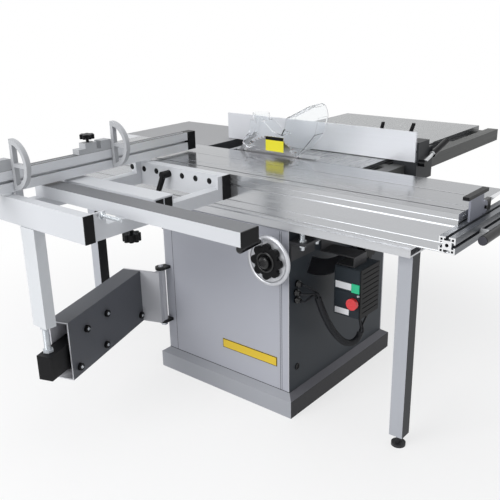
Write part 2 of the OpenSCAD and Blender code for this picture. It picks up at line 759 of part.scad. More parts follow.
// Sliding carriage: hollow extrusion with slots on its top and side
groove_w = 4;
groove_d = 3;
tee_w = 10;
tee_d = 14;
tee_under = 20;
tee_head = 7;
tee_x = -313;
line_xs = [-267, -156];
side_ups = [4, 29, 101];
side_slot_up = 78;
side_slot_z = carriage_z + side_slot_up;
side_slot_h = 8;
wing_edge = 9;
chamber_wall = 7;
chamber_h = 84;
module tee_slot(x, z) {
    translate([x - tee_w * half_share, z - tee_d]) square([tee_w, tee_d + over]);
    translate([x - tee_under * half_share, z - tee_d]) square([tee_under, tee_head]);
}
module carriage() color("silver") along_y(carriage_front, carriage_rear) difference() {
    polygon([[carriage_left, carriage_z], [body_right, carriage_z], [body_right, table_z - wing_t],
        [carriage_right, table_z - wing_edge], [carriage_right, table_z], [carriage_left, table_z]]);
    tee_slot(tee_x, table_z);
    for (x = line_xs) translate([x - groove_w * half_share, table_z - groove_d])
        square([groove_w, groove_d + over]);
    for (u = side_ups) translate([carriage_left - over, carriage_z + u - groove_w * half_share])
        square([groove_d + over, groove_w]);
    translate([carriage_left - over, side_slot_z]) square([2 * groove_d + over, side_slot_h]);
    mid = (carriage_left + body_right) * half_share;
    translate([carriage_left + chamber_wall, carriage_z + chamber_wall])
        square([mid - carriage_left - cell_share * chamber_wall, chamber_h]);
    translate([mid + half_share * chamber_wall, carriage_z + chamber_wall])
        square([body_right - mid - cell_share * chamber_wall, chamber_h]);
}

// Cross-cut frame
tube_wall = 3;
inner_rail_w = 37;
rail_x0 = carriage_left - inner_rail_w;
rail_z = table_z - rail_h;
frame_rear = frame_front + frame_l;
plug_r = 8;
plug_n = 7;
plug_y0 = -11;
plug_step = 64.7;
plug_drop = 25;
plug_z = table_z - plug_drop;
swivel_x = (rail_x0 + carriage_left) * half_share;
swivel_y = 318;
swivel_r = 6;
module tube_y(x0, x1, y0, y1, z0, z1) difference() {
    box([x0, y0, z0], [x1, y1, z1]);
    box([x0 + tube_wall, y0 - over, z0 + tube_wall], [x1 - tube_wall, y1 + over, z1 - tube_wall]);
}
module inner_rail() color("silver") difference() {
    tube_y(rail_x0, carriage_left, frame_front, frame_rear, rail_z, table_z);
    for (i = [0 : plug_n - 1])
        rod_x(rail_x0 - over, rail_x0 + tube_wall + over, plug_y0 + i * plug_step, plug_z, plug_r);
    rod_z(table_z - 2 * tube_wall, table_z + over, swivel_x, swivel_y, swivel_r + fit_gap);
}
module outer_beam() color("silver")
    tube_y(outer_x, outer_x + outer_w, frame_front, frame_rear, rail_z, table_z);
// Cross tubes: low tubes between the side rails, with upright end plates at the front of each
cross_h = 41;
cross_w = 40;
cross_in = 10;
outer_plate_l = 46;
inner_plate_l = 22;
plate_t = 8;
hole_in = 18;
hole_drop = 8;
hole_r = 4;
cross_x0 = outer_x + outer_w;
cross_z1 = rail_z + cross_h;
cross_ys = [frame_front, frame_rear - cross_w - cross_in];
module cross_tubes() color("silver") for (y = cross_ys) difference() {
    union() {
        box([cross_x0, y, rail_z], [rail_x0, y + cross_w, cross_z1]);
        box([cross_x0, y, rail_z], [cross_x0 + outer_plate_l, y + plate_t, table_z]);
        box([rail_x0 - inner_plate_l, y, rail_z], [rail_x0, y + plate_t, table_z]);
    }
    box([cross_x0 - over, y + tube_wall, rail_z + tube_wall],
        [rail_x0 + over, y + cross_w - tube_wall, cross_z1 - tube_wall]);
    rod_y(y - over, y + plate_t + over, cross_x0 + hole_in, table_z - hole_drop, hole_r);
}
// Support beam and profile on the cross tubes
support_off = 116;
support_w = 70;
support_front = -507;
profile_gap = 20;
profile_w = 77;
profile_wall = 5;
profile_front = -100;
support_x = cross_x0 + support_off;
profile_x = support_x + support_w + profile_gap;
cell_w = (profile_w - 3 * profile_wall) * half_share;
support_rear = cross_ys[1] + cross_w;
module support_beam() color("silver")
    tube_y(support_x, support_x + support_w, support_front, support_rear, cross_z1, table_z);
module cells(y0, y1) for (i = [0, 1])
    translate([profile_x + profile_wall + i * (cell_w + profile_wall), 0, 0])
        box([0, y0, cross_z1 + profile_wall], [cell_w, y1, table_z - profile_wall]);
module support_profile() color("silver") difference() {
    box([profile_x, profile_front, cross_z1], [profile_x + profile_w, support_rear, table_z]);
    cells(profile_front - over, support_rear + over);
}
cap_t = 4;
plug_l = 12;
module cap(x0, x1, y, z0, z1) box([x0, y - cap_t, z0], [x1, y, z1]);
module end_caps() color([0.1, 0.1, 0.1]) {
    cap(support_x, support_x + support_w, support_front, cross_z1, table_z);
    cap(outer_x, cross_x0, frame_front, rail_z, table_z);
    cap(rail_x0, carriage_left - run_gap, frame_front, rail_z, table_z);
    cells(profile_front - over, profile_front + plug_l);
}
// End bar: slotted square profile across the front end of the carriage, with the end stop's block
bar_left = -467;
bar_right = -35;
bar_t = 45;
bar_drop = 29;
bar_z1 = table_z - bar_drop;
bar_z0 = bar_z1 - bar_t;
bar_slot = 9;
bar_lip = 4;
bar_deep = 6;
bar_cell = 6;
bar_bore = 5;
bar_y = carriage_front - bar_t;
bar_mid_y = bar_y + bar_t * half_share;
bar_mid_z = bar_z0 + bar_t * half_share;
module end_bar() color("silver") {
    along_x(bar_left, bar_right) translate([bar_mid_y, bar_mid_z]) bar_section();
    box([flag_pin_x - flag_lug, flag_y + run_gap, bar_z1 - over],
        [flag_pin_x + flag_block, carriage_front, flag_pin_z + flag_lug]);
    rod_y(flag_y - 2 * flag_t, carriage_front, flag_pin_x, flag_pin_z, flag_pin_r);
}
module bar_section() difference() {
    half_t = bar_t * half_share;
    square(bar_t, center = true);
    circle(r = bar_bore);
    for (i = [0 : 3]) rotate(i * 90) {
        translate([half_t - bar_lip, -bar_slot * half_share]) square([bar_lip + over, bar_slot]);
        translate([half_t - bar_lip - bar_deep, -bar_slot]) square([bar_deep, 2 * bar_slot]);
        translate([half_t - bar_lip - bar_cell, half_t - bar_lip - bar_cell]) square(bar_cell);
    }
}
// Push handle: round grip with a metal end disc, on two posts from the end bar
handle_ahead = 37;
handle_y = bar_y - handle_ahead;
handle_x0 = -379;
handle_x1 = -70;
handle_r = 13;
handle_post_r = 7;
handle_post_shares = [0.25, 0.9];
handle_end = 4;
module push_handle() color([0.1, 0.1, 0.1]) {
    rod_x(handle_x0, handle_x1, handle_y, bar_mid_z, handle_r);
    rod_x(handle_x0 - handle_end, handle_x0, handle_y, bar_mid_z, handle_r - over);
    for (s = handle_post_shares)
        rod_y(handle_y, bar_y, handle_x0 + s * (handle_x1 - handle_x0), bar_mid_z, handle_post_r);
}
// End stop: flag plate pivoting on the end bar, with a lever across its top
flag_x0 = -318;
flag_pin_x = -215;
flag_up = 43;
flag_z1 = table_z + flag_up;
flag_t = 6;
flag_in = 12;
flag_y = carriage_front - flag_in;
flag_pin_up = 20;
flag_pin_z = bar_z1 + flag_pin_up;
flag_pin_r = 5;
flag_lug = 14;
flag_block = 60;
flag_lever_left = 45;
flag_lever_h = 9;
module end_stop() color("gray") {
    difference() {
        union() {
            box([flag_x0, flag_y - flag_t, bar_z1 + run_gap], [flag_pin_x - flag_lug, flag_y, flag_z1]);
            rod_y(flag_y - flag_t, flag_y, flag_pin_x, flag_pin_z, flag_pin_up - run_gap);
        }
        rod_y(flag_y - flag_t - over, flag_y + over, flag_pin_x, flag_pin_z, flag_pin_r + fit_gap);
    }
    box([flag_x0 - flag_lever_left, flag_y - 3 * flag_t, flag_z1 - over],
        [flag_pin_x - flag_lug, flag_y, flag_z1 + flag_lever_h]);
}

// Cross-cut fence: slotted profile that swivels on the inner rail
fence_y0 = swivel_y - fence_t * half_share;
fence_y1 = swivel_y + fence_t * half_share;
seat_h = 9;
fence_z0 = table_z + seat_h;
fence_z1 = fence_z0 + fence_h;
fence_right = -168;
seat_r = 17;
seat_x2 = outer_x + outer_w * half_share;
tip_l = 43;
module crosscut_fence() color("silver") {
    along_x(fence_left, fence_right) difference() {
        translate([fence_y0, fence_z0]) square([fence_t, fence_h]);
        translate([fence_y0 - over, fence_z0 + (fence_h - bar_slot) * half_share])
            square([bar_slot + over, bar_slot]);
        translate([fence_y0 + bar_slot - over, fence_z0 + fence_h * half_share - bar_slot])
            square([bar_slot, 2 * bar_slot]);
        translate([swivel_y - bar_slot * half_share, fence_z1 - bar_slot])
            square([bar_slot, bar_slot + over]);
        for (z = [fence_z0 + tube_wall, fence_z1 - bar_slot - 3 * tube_wall])
            translate([fence_y0 + tube_wall, z]) square([fence_t - 2 * tube_wall, 2 * tube_wall]);
    }
    rod_z(table_z + run_gap, fence_z0 + over, swivel_x, swivel_y, seat_r);
    rod_z(table_z + run_gap, fence_z0 + over, seat_x2, swivel_y, seat_r);
    rod_z(table_z - tube_wall, fence_z0 + over, swivel_x, swivel_y, swivel_r);
}
module fence_tip() color([0.1, 0.1, 0.1]) difference() {
    box([fence_right, fence_y0, fence_z0], [fence_right + tip_l, fence_y1, fence_z1]);
    box([fence_right + tip_l * half_share, fence_y0 + fence_t * half_share, fence_z0 + tube_wall],
        [fence_right + tip_l + over, fence_y1 + over, fence_z1 - tube_wall]);
}
// Flip stops: half discs on pins in the stop blocks
stop_xs = [-933, -543];
stop_t = 16;
stop_rim = 14;
stop_rib = 11;
stop_gap = 1.5;
stop_cy = fence_y0 - stop_gap;
flip_up = 16;
flip_z = fence_z1 + flip_up;
flip_hub = 13;
flip_pin = 5;
block_l = 135;
block_h = 34;
block_step = 28;
block_gap = 19;
block_gap_at = 61;
block_floor = 8;
module stop_blocks() color([0.1, 0.1, 0.1]) for (x = stop_xs) {
    difference() {
        box([x - run_gap - block_l, fence_y0 + over, fence_z1],
            [x - run_gap, fence_y1 - over, fence_z1 + block_h]);
        box([x - run_gap - block_l - over, fence_y0, fence_z1 + block_h * half_share],
            [x - run_gap - block_l + block_step, fence_y1, fence_z1 + block_h + over]);
        box([x - block_gap_at, fence_y0, fence_z1 + block_floor],
            [x - block_gap_at + block_gap, fence_y1, fence_z1 + block_h + over]);
    }
    rod_x(x - run_gap - over, x + stop_t + tube_wall, swivel_y, flip_z, flip_pin);
}
module flip_stop(x) difference() {
    union() {
        along_x(x, x + stop_t) difference() {
            intersection() {
                translate([stop_cy, flip_z]) circle(r = stop_r, $fn = 72);
                translate([stop_cy - stop_r, flip_z - stop_r]) square([stop_r, 2 * stop_r]);
            }
            difference() {
                intersection() {
                    translate([stop_cy, flip_z]) circle(r = stop_r - stop_rim, $fn = 72);
                    translate([stop_cy - stop_r, flip_z - stop_r]) square([stop_r - stop_rim, 2 * stop_r]);
                }
                translate([stop_cy - stop_r, flip_z - stop_rib * half_share]) square([stop_r, stop_rib]);
            }
        }
        rod_x(x, x + stop_t, swivel_y, flip_z, flip_hub);
        box([x, stop_cy - over, flip_z - flip_hub], [x + stop_t, swivel_y, flip_z + flip_hub]);
    }
    rod_x(x - over, x + stop_t + over, swivel_y, flip_z, flip_pin + fit_gap);
}
module flip_stop_left() color([0.1, 0.1, 0.1]) flip_stop(stop_xs[0]);
module flip_stop_right() color([0.1, 0.1, 0.1]) flip_stop(stop_xs[1]);
// Lobed knob head, standing on its underside
lobed_n = 7;
knob_core_share = 0.78;
lobe_at_share = 0.76;
lobe_share = 0.24;
module lobes(r, h, n) linear_extrude(h) {
    circle(r = knob_core_share * r);
    for (i = [0 : n - 1]) rotate(i * 360 / n) translate([lobe_at_share * r, 0]) circle(r = lobe_share * r);
}
stop_knob_r = 25;
stop_knob_h = 15;
stop_knob_gap = 12;
stop_knob_back = 84;
module stop_knob(x) translate([x - stop_knob_back, swivel_y, fence_z1 + block_h + run_gap]) {
    translate([0, 0, stop_knob_gap]) lobes(stop_knob_r, stop_knob_h, lobed_n);
    cylinder(r = flip_pin, h = stop_knob_gap + over);
}
module stop_knob_left() color([0.1, 0.1, 0.1]) stop_knob(stop_xs[0]);
module stop_knob_right() color([0.1, 0.1, 0.1]) stop_knob(stop_xs[1]);
// Clamp lever at the inner rail and star knob under the support beam
clamp_y = plug_y0 + 3 * plug_step;
clamp_hub = 13;
clamp_out = 36;
clamp_l = 52;
clamp_w = 13;
clamp_lean = 10;
clamp_reach_share = 1.4;
module clamp_lever() color([0.1, 0.1, 0.1]) {
    rod_x(rail_x0 - run_gap - clamp_out, rail_x0 - run_gap, clamp_y, plug_z, clamp_hub);
    rod_x(rail_x0 - run_gap - over, rail_x0 + tube_wall, clamp_y, plug_z, plug_r - fit_gap);
    hull() {
        rod_x(rail_x0 - run_gap - clamp_out, rail_x0 - run_gap - half_share * clamp_out, clamp_y, plug_z,
            clamp_w * half_share);
        rod_x(rail_x0 - run_gap - clamp_reach_share * clamp_out, rail_x0 - run_gap - clamp_out,
            clamp_y + clamp_lean, plug_z - clamp_l, clamp_w * half_share);
    }
}
beam_knob_r = 28;
beam_knob_h = 24;
beam_knob_stem = 16;
beam_knob_x = support_x + support_w * half_share;
module beam_knob() color([0.1, 0.1, 0.1])
    translate([beam_knob_x, frame_front + cross_w * half_share,
        rail_z - run_gap - beam_knob_stem - beam_knob_h]) {
        lobes(beam_knob_r, beam_knob_h, lock_n);
        translate([0, 0, beam_knob_h - over]) cylinder(r = flip_pin, h = beam_knob_stem + over);
    }

// Swing arm: box hinged on the cabinet, with rollers for the inner arm
arm_sheet = 4;
root_s = 32;
knuckle_r = 16;
web_half = 10;
pin_top_share = 1.5;
inner_z0 = 268;
inner_h = 85;
inner_w = 50;
inner_t0 = -132;
inner_s0 = 150;
inner_s1 = 625;
roller_r = 14;
arm_bolt_r = 6;
upper_ss = [300, 430];
lower_ss = [60, 320, 490];
upper_z = inner_z0 + inner_h + run_gap + roller_r;
lower_z = inner_z0 - run_gap - roller_r;
arm_t0 = -arm_off - arm_t;
arm_t1 = -arm_off;
module in_arm() translate([pin_x, pin_y, 0]) rotate([0, 0, 180 + arm_a]) children();
module arm_rods(r, t0, t1) {
    for (s = upper_ss) rod_y(t0, t1, s, upper_z, r);
    for (s = lower_ss) rod_y(t0, t1, s, lower_z, r);
}
module arm_box() color("gainsboro") in_arm() difference() {
    union() {
        box([root_s + arm_sheet, arm_t0, arm_z0], [arm_l, arm_t1, arm_z0 + arm_h]);
        box([root_s, arm_t0, arm_z0], [root_s + 2 * arm_sheet, web_half, arm_z0 + arm_h]);
        box([0, -web_half, arm_z0], [root_s + arm_sheet, web_half, arm_z0 + arm_h]);
        rod_z(arm_z0, arm_z0 + arm_h, 0, 0, knuckle_r);
        rod_z(lug_z0 - lug_t, lug_z1 + pin_top_share * lug_t, 0, 0, pin_r);
    }
    box([root_s + 2 * arm_sheet, arm_t0 + arm_sheet, arm_z0 + arm_sheet],
        [arm_l + over, arm_t1 - arm_sheet, arm_z0 + arm_h - arm_sheet]);
    arm_rods(arm_bolt_r + fit_gap, arm_t0 - over, arm_t1 + over);
}
bolt_head_r = 13;
bolt_head_t = 10;
module arm_bolts() color([0.1, 0.1, 0.1]) in_arm() {
    arm_rods(arm_bolt_r, arm_t0, arm_t1 + over);
    arm_rods(bolt_head_r, arm_t1, arm_t1 + bolt_head_t);
    arm_rods(roller_r, arm_t0 + 2 * arm_sheet, arm_t1 - 2 * arm_sheet);
}
module inner_arm() color("gainsboro") in_arm() difference() {
    box([inner_s0, inner_t0, inner_z0], [inner_s1, inner_t0 + inner_w, inner_z0 + inner_h]);
    box([inner_s0 - over, inner_t0 + arm_sheet, inner_z0 + arm_sheet],
        [inner_s1 - arm_sheet, inner_t0 + inner_w - arm_sheet, inner_z0 + inner_h - arm_sheet]);
}
post_x = -949;
post_y = 205;
post_w = 38;
post_d = 68;
post_l = 330;
post_z0 = rail_z - post_l;
post_rod_r = 10;
post_gap = 0.5;
post_nut_share = 1.8;
module post() color("gainsboro") {
    half_w = post_w * half_share;
    half_d = post_d * half_share;
    z1 = rail_z - post_gap;
    difference() {
        box([post_x - half_w, post_y - half_d, post_z0], [post_x + half_w, post_y + half_d, z1]);
        box([post_x - half_w + arm_sheet, post_y - half_d + arm_sheet, post_z0 + arm_sheet],
            [post_x + half_w - arm_sheet, post_y + half_d - arm_sheet, z1 - arm_sheet]);
    }
    rod_z(inner_z0 + inner_h, post_z0 + over, post_x, post_y, post_rod_r);
    for (z = [inner_z0 + inner_h, post_z0 - nut_h])
        translate([post_x, post_y, z]) cylinder(r = post_nut_share * post_rod_r, h = nut_h, $fn = 6);
}

// Rip fence: head that wraps the rail, carrier and face
head_w = 121;
head_ahead = 46;
head_behind = 14;
head_below = 8;
head_above = 71;
head_y0 = rail_front - head_ahead;
head_y1 = rail_back + head_behind;
head_z0 = rail_top - rail_t - head_below;
head_z1 = table_z + head_above;
head_gap = 0.5;
face_t = 10;
face_lift = 2.5;
face_z0 = table_z + face_lift;
face_ahead = 112;
face_y0 = table_front - face_ahead;
carrier_w = 44;
bar_x1 = face_x + carrier_w;
bar_h = 44;
lock_in = 22;
lock_x = face_x + lock_in;
lock_up = 10;
lock_z = rail_top + lock_up;
lever_pin_r = 6;
lever_pin_l = 15;
module fence_head() color([0.15, 0.16, 0.17]) difference() {
    union() {
        box([face_x + face_t, head_y0, head_z0], [face_x + head_w, head_y1, head_z1]);
        box([face_x, head_y0, head_z0], [face_x + head_w, head_y1, face_z0]);
        box([face_x + face_t, head_y1 - over, face_z0],
            [bar_x1, face_y0 + face_l - 2 * face_t, face_z0 + bar_h]);
    }
    box([face_x - over, rail_front - head_gap, head_z0 - over],
        [face_x + head_w + over, rail_back + head_gap, rail_top + head_gap]);
    box([face_x - over, rail_back, head_z0 - over], [face_x + head_w + over, head_y1 + over, table_z + over]);
    box([face_x + head_w - 3 * face_t, head_y0 - over, table_z + bar_h],
        [face_x + head_w + over, head_y1 + over, head_z1 + over]);
    rod_y(head_y0 - over, head_y0 + 2 * face_t, lock_x, lock_z, lever_pin_r + fit_gap);
}
face_groove_shares = [0.3, 0.7];
module fence_face() color("silver") along_y(face_y0, face_y0 + face_l) difference() {
    translate([face_x, face_z0]) square([face_t, face_h - face_lift]);
    for (s = face_groove_shares) translate([face_x + face_t - groove_d, face_z0 + s * face_h])
        square([groove_d + over, 2 * groove_w]);
}
// Lever that locks the head on the rail
cam_l = 190;
cam_a = 15;
cam_r = 6;
cam_grip_r = 11;
cam_grip_share = 0.4;
cam_t = 24;
module cam_lever() color("silver") {
    rod_y(head_y0 - run_gap - cam_t, head_y0 - run_gap, lock_x, lock_z, 2 * lever_pin_r);
    rod_y(head_y0 - run_gap - over, head_y0 + lever_pin_l, lock_x, lock_z, lever_pin_r);
    translate([lock_x, head_y0 - run_gap - cam_t * half_share, lock_z]) rotate([0, -cam_a, 0]) {
        rod_x(0, cam_l, 0, 0, cam_r);
        rod_x(cam_l * cam_grip_share, cam_l, 0, 0, cam_grip_r);
    }
}
// Small levers that clamp the face on its carrier and head
small_r = 6;
small_hub = 9;
small_lean = 16;
lever_backs = [42, 162];
lever_ups = [134, 128];
lever_x = bar_x1 - lever_pin_r - small_hub;
module face_lever(y, z, top) {
    rod_z(z, z + 2 * small_hub, lever_x, y, small_hub);
    hull() {
        rod_z(z + small_hub, z + 2 * small_hub, lever_x, y, small_r);
        rod_z(top - small_r, top, lever_x, y - small_lean, small_r);
    }
}
module face_lever_front() color([0.1, 0.1, 0.1])
    face_lever(face_y0 + lever_backs[0], head_z1 + run_gap, table_z + lever_ups[0]);
module face_lever_rear() color([0.1, 0.1, 0.1])
    face_lever(face_y0 + lever_backs[1], face_z0 + bar_h + run_gap, table_z + lever_ups[1]);

// Switch box on its hanger, with two buttons
switch_x1 = -25;
switch_x0 = switch_x1 - switch_d;
switch_y0 = -474;
switch_y1 = switch_y0 + switch_w;
hang_drop = 120;
hang_z = cz1 - hang_drop;
hang_gap = 34;
switch_z0 = hang_z - hang_gap - switch_h;
switch_z1 = switch_z0 + switch_h;
start_in = 20.5;
start_up = 112;
start_y = switch_y0 + start_in;
start_z = switch_z0 + start_up;
start_w = 31;
start_h = 32;
stop_in = 25;
stop_out = 20;
stop_up = 58;
stop_y = switch_y0 + stop_in;
stop_z = switch_z0 + stop_up;
panel_t = 2;
panel_in = 5;
panel_ups = [[3, 93], [139, 179]];
stop_button_r = 21;
switch_pocket = 14;
switch_rib = 3;
rib_n = 9;
module switch_box() color([0.14, 0.15, 0.16]) difference() {
    half_w = start_w * half_share + run_gap;
    half_h = start_h * half_share + run_gap;
    union() {
        box([switch_x0, switch_y0, switch_z0], [switch_x1, switch_y1, switch_z1]);
        for (u = panel_ups) box([switch_x0 - panel_t, switch_y0 + panel_in, switch_z0 + u[0]],
            [switch_x0 + over, switch_y1 - panel_in, switch_z0 + u[1]]);
    }
    box([switch_x0 - over, start_y - half_w, start_z - half_h],
        [switch_x0 + switch_pocket, start_y + half_w, start_z + half_h]);
    rod_x(switch_x0 - panel_t - over, switch_x0 + switch_pocket, stop_y, stop_z,
        stop_button_r * half_share + run_gap);
    for (i = [0 : rib_n - 1]) {
        z = switch_z0 + (i + 1) * switch_h / (rib_n + 1);
        box([switch_x0 + 4 * switch_rib, switch_y0 - over, z],
            [switch_x1 + over, switch_y0 + switch_rib, z + switch_rib]);
    }
}
module start_button() color("green")
    translate([switch_x0 - switch_rib, start_y - start_w * half_share, start_z - start_h * half_share])
        cube([switch_rib + switch_pocket * half_share, start_w, start_h]);
module stop_button() color("red") {
    half_deep = switch_pocket * half_share;
    rod_x(switch_x0 - stop_out, switch_x0 - half_deep, stop_y, stop_z, stop_button_r);
    rod_x(switch_x0 - switch_pocket, switch_x0 + half_deep, stop_y, stop_z, stop_button_r * half_share);
}
hang_x0 = -140;
hang_x1 = -60;
hang_h = 70;
hang_t = 4;
hang_y = -440;
module switch_bracket() color("dimgray") {
    box([hang_x0, cy0 - hang_t, hang_z], [hang_x1, cy0, hang_z + hang_h]);
    box([hang_x0, hang_y, hang_z], [hang_x1, cy0, hang_z + hang_t]);
    box([hang_x0, hang_y, switch_z1], [hang_x1, hang_y + hang_t, hang_z + hang_t]);
    box([hang_x0, hang_y, switch_z1], [hang_x1, switch_y1, switch_z1 + hang_t]);
}
// Sleeved cables from the front wall's glands to the switch box
gland_r = 9;
gland_l = 20;
gland_nut = 13;
gland_places = [[-281, 492], [-289, 462], [-286, 434]];
box_gland_places = [[-66, -420], [-38, -398], [-38, -440]];
lead_r = 4;
lead_n = 8;
lead_count = 3;
lead_spread = 6;
lead_run = 16;
sleeve_r = 12.5;
sleeve_n = 12;
sleeve_points = [[-226, -350, 432], [-222, -364, 392], [-211, -381, 345], [-193, -392, 307], [-169, -400, 274],
    [-144, -405, 249], [-118, -409, 233], [-94, -412, 225], [-70, -413, 224],
    [-52, -414, 231], [-42, -415, 246]];
route_steps = 4;
function catmull(p, i, t) = let (n = len(p) - 1, a = p[max(i - 1, 0)], b = p[i], c = p[i + 1], d = p[min(i + 2, n)])
    half_share * (2 * b + (c - a) * t + (2 * a - 5 * b + 4 * c - d) * t * t + (3 * b - a - 3 * c + d) * t * t * t);
function route(p, m) = concat([for (i = [0 : len(p) - 2], j = [0 : m - 1]) catmull(p, i, j / m)], [p[len(p) - 1]]);
function unit(v) = v / norm(v);
function side_of(d, w) = unit(cross(d, w));
function ring_point(d, w, r, a) = r * (cos(a) * side_of(d, w) + sin(a) * cross(d, side_of(d, w)));
along_feed = [0, 1, 0];
along_front = [1, 0, 0];
sleeve_path = route(sleeve_points, route_steps);
sleeve_last = len(sleeve_path) - 1;
sleeve_d0 = unit(sleeve_path[1] - sleeve_path[0]);
sleeve_d1 = unit(sleeve_path[sleeve_last] - sleeve_path[sleeve_last - 1]);
module tube_along(p, r, n, d0, d1, w) {
    m = len(p);
    dirs = [for (i = [0 : m - 1]) i == 0 ? d0 : i == m - 1 ? d1 : unit(p[i + 1] - p[i - 1])];
    pts = [for (i = [0 : m - 1], k = [0 : n - 1]) p[i] + ring_point(dirs[i], w, r, k * 360 / n)];
    faces = concat([[for (k = [0 : n - 1]) k]], [[for (k = [n - 1 : -1 : 0]) (m - 1) * n + k]],
        [for (i = [0 : m - 2], k = [0 : n - 1])
            [i * n + k, (i + 1) * n + k, (i + 1) * n + (k + 1) % n, i * n + (k + 1) % n]]);
    polyhedron(points = pts, faces = faces);
}
module switch_conduit() color([0.1, 0.1, 0.1])
    tube_along(sleeve_path, sleeve_r, sleeve_n, sleeve_d0, sleeve_d1, along_feed);
module cable_leads() color([0.1, 0.1, 0.1]) for (i = [0 : lead_count - 1]) {
    g = gland_places[i];
    wall = [g[0], cy0, g[1]];
    tip = sleeve_path[0] + ring_point(sleeve_d0, along_feed, lead_spread, i * 360 / lead_count);
    translate(wall) rotate([90, 0, 0]) {
        cylinder(r = gland_r, h = gland_l);
        cylinder(r = gland_nut, h = gland_l * half_share, $fn = 6);
    }
    tube_along(route([wall + [0, over - gland_l, 0], wall - [0, gland_l + lead_run, 0], tip - lead_run * sleeve_d0,
        tip], route_steps), lead_r, lead_n, -along_feed, sleeve_d0, along_front);
    b = box_gland_places[i];
    under = [b[0], b[1], switch_z0];
    out = sleeve_path[sleeve_last] + ring_point(sleeve_d1, along_feed, lead_spread, i * 360 / lead_count);
    rod_z(switch_z0 - gland_l * half_share, switch_z0, b[0], b[1], gland_r);
    tube_along(route([out, out + lead_run * sleeve_d1, under - [0, 0, gland_l + lead_run],
        under + [0, 0, over - gland_l * half_share]], route_steps), lead_r, lead_n, sleeve_d1, [0, 0, 1], along_feed);
}

plinth();
cabinet();
main_table();
table_insert();
right_table();
rear_table();
rear_table_arms();
fence_rail();
base_beam();
beam_brackets();
levelling_bolts();
legs();
trunnions();
switch_box();
switch_bracket();
cable_leads();
switch_conduit();
wheel_knob();
tilt_frame();
riving_knife();
tilt_handwheel();
crank_grip();
height_knob();
saw_unit();
motor();
drive_belt();
saw_blade();
arbor();
motor_pulley();
guard_hood();
carriage();
inner_rail();
outer_beam();
cross_tubes();
support_beam();
support_profile();
end_caps();
end_bar();
push_handle();
end_stop();
crosscut_fence();
fence_tip();
stop_blocks();
flip_stop_left();
flip_stop_right();
stop_knob_left();
stop_knob_right();
clamp_lever();
beam_knob();
arm_box();
arm_bolts();
inner_arm();
post();
fence_head();
fence_face();
cam_lever();
face_lever_front();
face_lever_rear();
start_button();
stop_button();
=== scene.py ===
import math

import bmesh
import bpy
from mathutils import Matrix, Vector


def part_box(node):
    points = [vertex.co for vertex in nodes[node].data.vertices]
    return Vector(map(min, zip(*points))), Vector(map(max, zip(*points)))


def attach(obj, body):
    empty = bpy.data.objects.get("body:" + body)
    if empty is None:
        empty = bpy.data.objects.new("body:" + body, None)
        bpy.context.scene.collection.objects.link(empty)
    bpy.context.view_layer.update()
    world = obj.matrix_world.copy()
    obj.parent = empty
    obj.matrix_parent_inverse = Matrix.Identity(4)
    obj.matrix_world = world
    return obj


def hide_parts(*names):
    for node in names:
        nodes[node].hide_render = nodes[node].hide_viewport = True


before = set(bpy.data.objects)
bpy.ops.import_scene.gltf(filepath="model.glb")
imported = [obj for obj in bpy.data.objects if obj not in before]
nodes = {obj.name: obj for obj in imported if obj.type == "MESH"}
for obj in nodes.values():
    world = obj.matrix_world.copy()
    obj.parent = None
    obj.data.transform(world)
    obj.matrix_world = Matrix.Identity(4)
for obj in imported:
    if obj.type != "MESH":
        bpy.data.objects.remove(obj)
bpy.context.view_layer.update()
scene = bpy.context.scene
scene.view_settings.view_transform = "Standard"


# Camera: the photograph's view
def make_camera():
    sensor, focal_px, image_px = 36.0, 700.0, 500.0
    place = (-2.0852, -1.5923, 1.404)
    heading, dip, roll = 39.698, 19.574, -1.207
    data = bpy.data.cameras.new("camera")
    data.sensor_width = sensor
    data.lens = focal_px / image_px * sensor
    camera = bpy.data.objects.new("camera", data)
    level = 90.0
    swing = Matrix.Rotation(math.radians(heading - level), 4, "Z")
    lift = Matrix.Rotation(math.radians(level - dip), 4, "X")
    lean = Matrix.Rotation(math.radians(roll), 4, "Z")
    camera.matrix_world = Matrix.Translation(place) @ swing @ lift @ lean
    scene.collection.objects.link(camera)
    scene.camera = camera


# Shader groups shared by the finishes
def new_group(name, inputs, outputs):
    group = bpy.data.node_groups.new(name, "ShaderNodeTree")
    for label, kind, value in inputs:
        socket = group.interface.new_socket(label, in_out="INPUT", socket_type=kind)
        if value is not None:
            socket.default_value = value
    for label, kind in outputs:
        group.interface.new_socket(label, in_out="OUTPUT", socket_type=kind)
    return group, group.nodes.new("NodeGroupInput"), group.nodes.new("NodeGroupOutput")


def spread_noise(group, inp, out, noise):
    """Puts out a noise as a mask, and as a value spread between the inputs Low and High."""
    noise_low, noise_high = 0.3, 0.7
    spread = group.nodes.new("ShaderNodeMapRange")
    spread.inputs["From Min"].default_value = noise_low
    spread.inputs["From Max"].default_value = noise_high
    links = group.links
    links.new(noise.outputs["Fac"], spread.inputs["Value"])
    links.new(inp.outputs["Low"], spread.inputs["To Min"])
    links.new(inp.outputs["High"], spread.inputs["To Max"])
    links.new(spread.outputs["Result"], out.inputs["Value"])
    links.new(noise.outputs["Fac"], out.inputs["Mask"])


def speckle_group():
    """Even grain between two values, for paint, castings and moulded plastic."""
    group, inp, out = new_group(
        "speckle",
        [
            ("Scale", "NodeSocketFloat", 400.0),
            ("Low", "NodeSocketFloat", 0.4),
            ("High", "NodeSocketFloat", 0.5),
        ],
        [("Value", "NodeSocketFloat"), ("Mask", "NodeSocketFloat")],
    )
    place = group.nodes.new("ShaderNodeTexCoord")
    noise = group.nodes.new("ShaderNodeTexNoise")
    noise.inputs["Detail"].default_value = 4.0
    group.links.new(place.outputs["Object"], noise.inputs["Vector"])
    group.links.new(inp.outputs["Scale"], noise.inputs["Scale"])
    spread_noise(group, inp, out, noise)
    return group


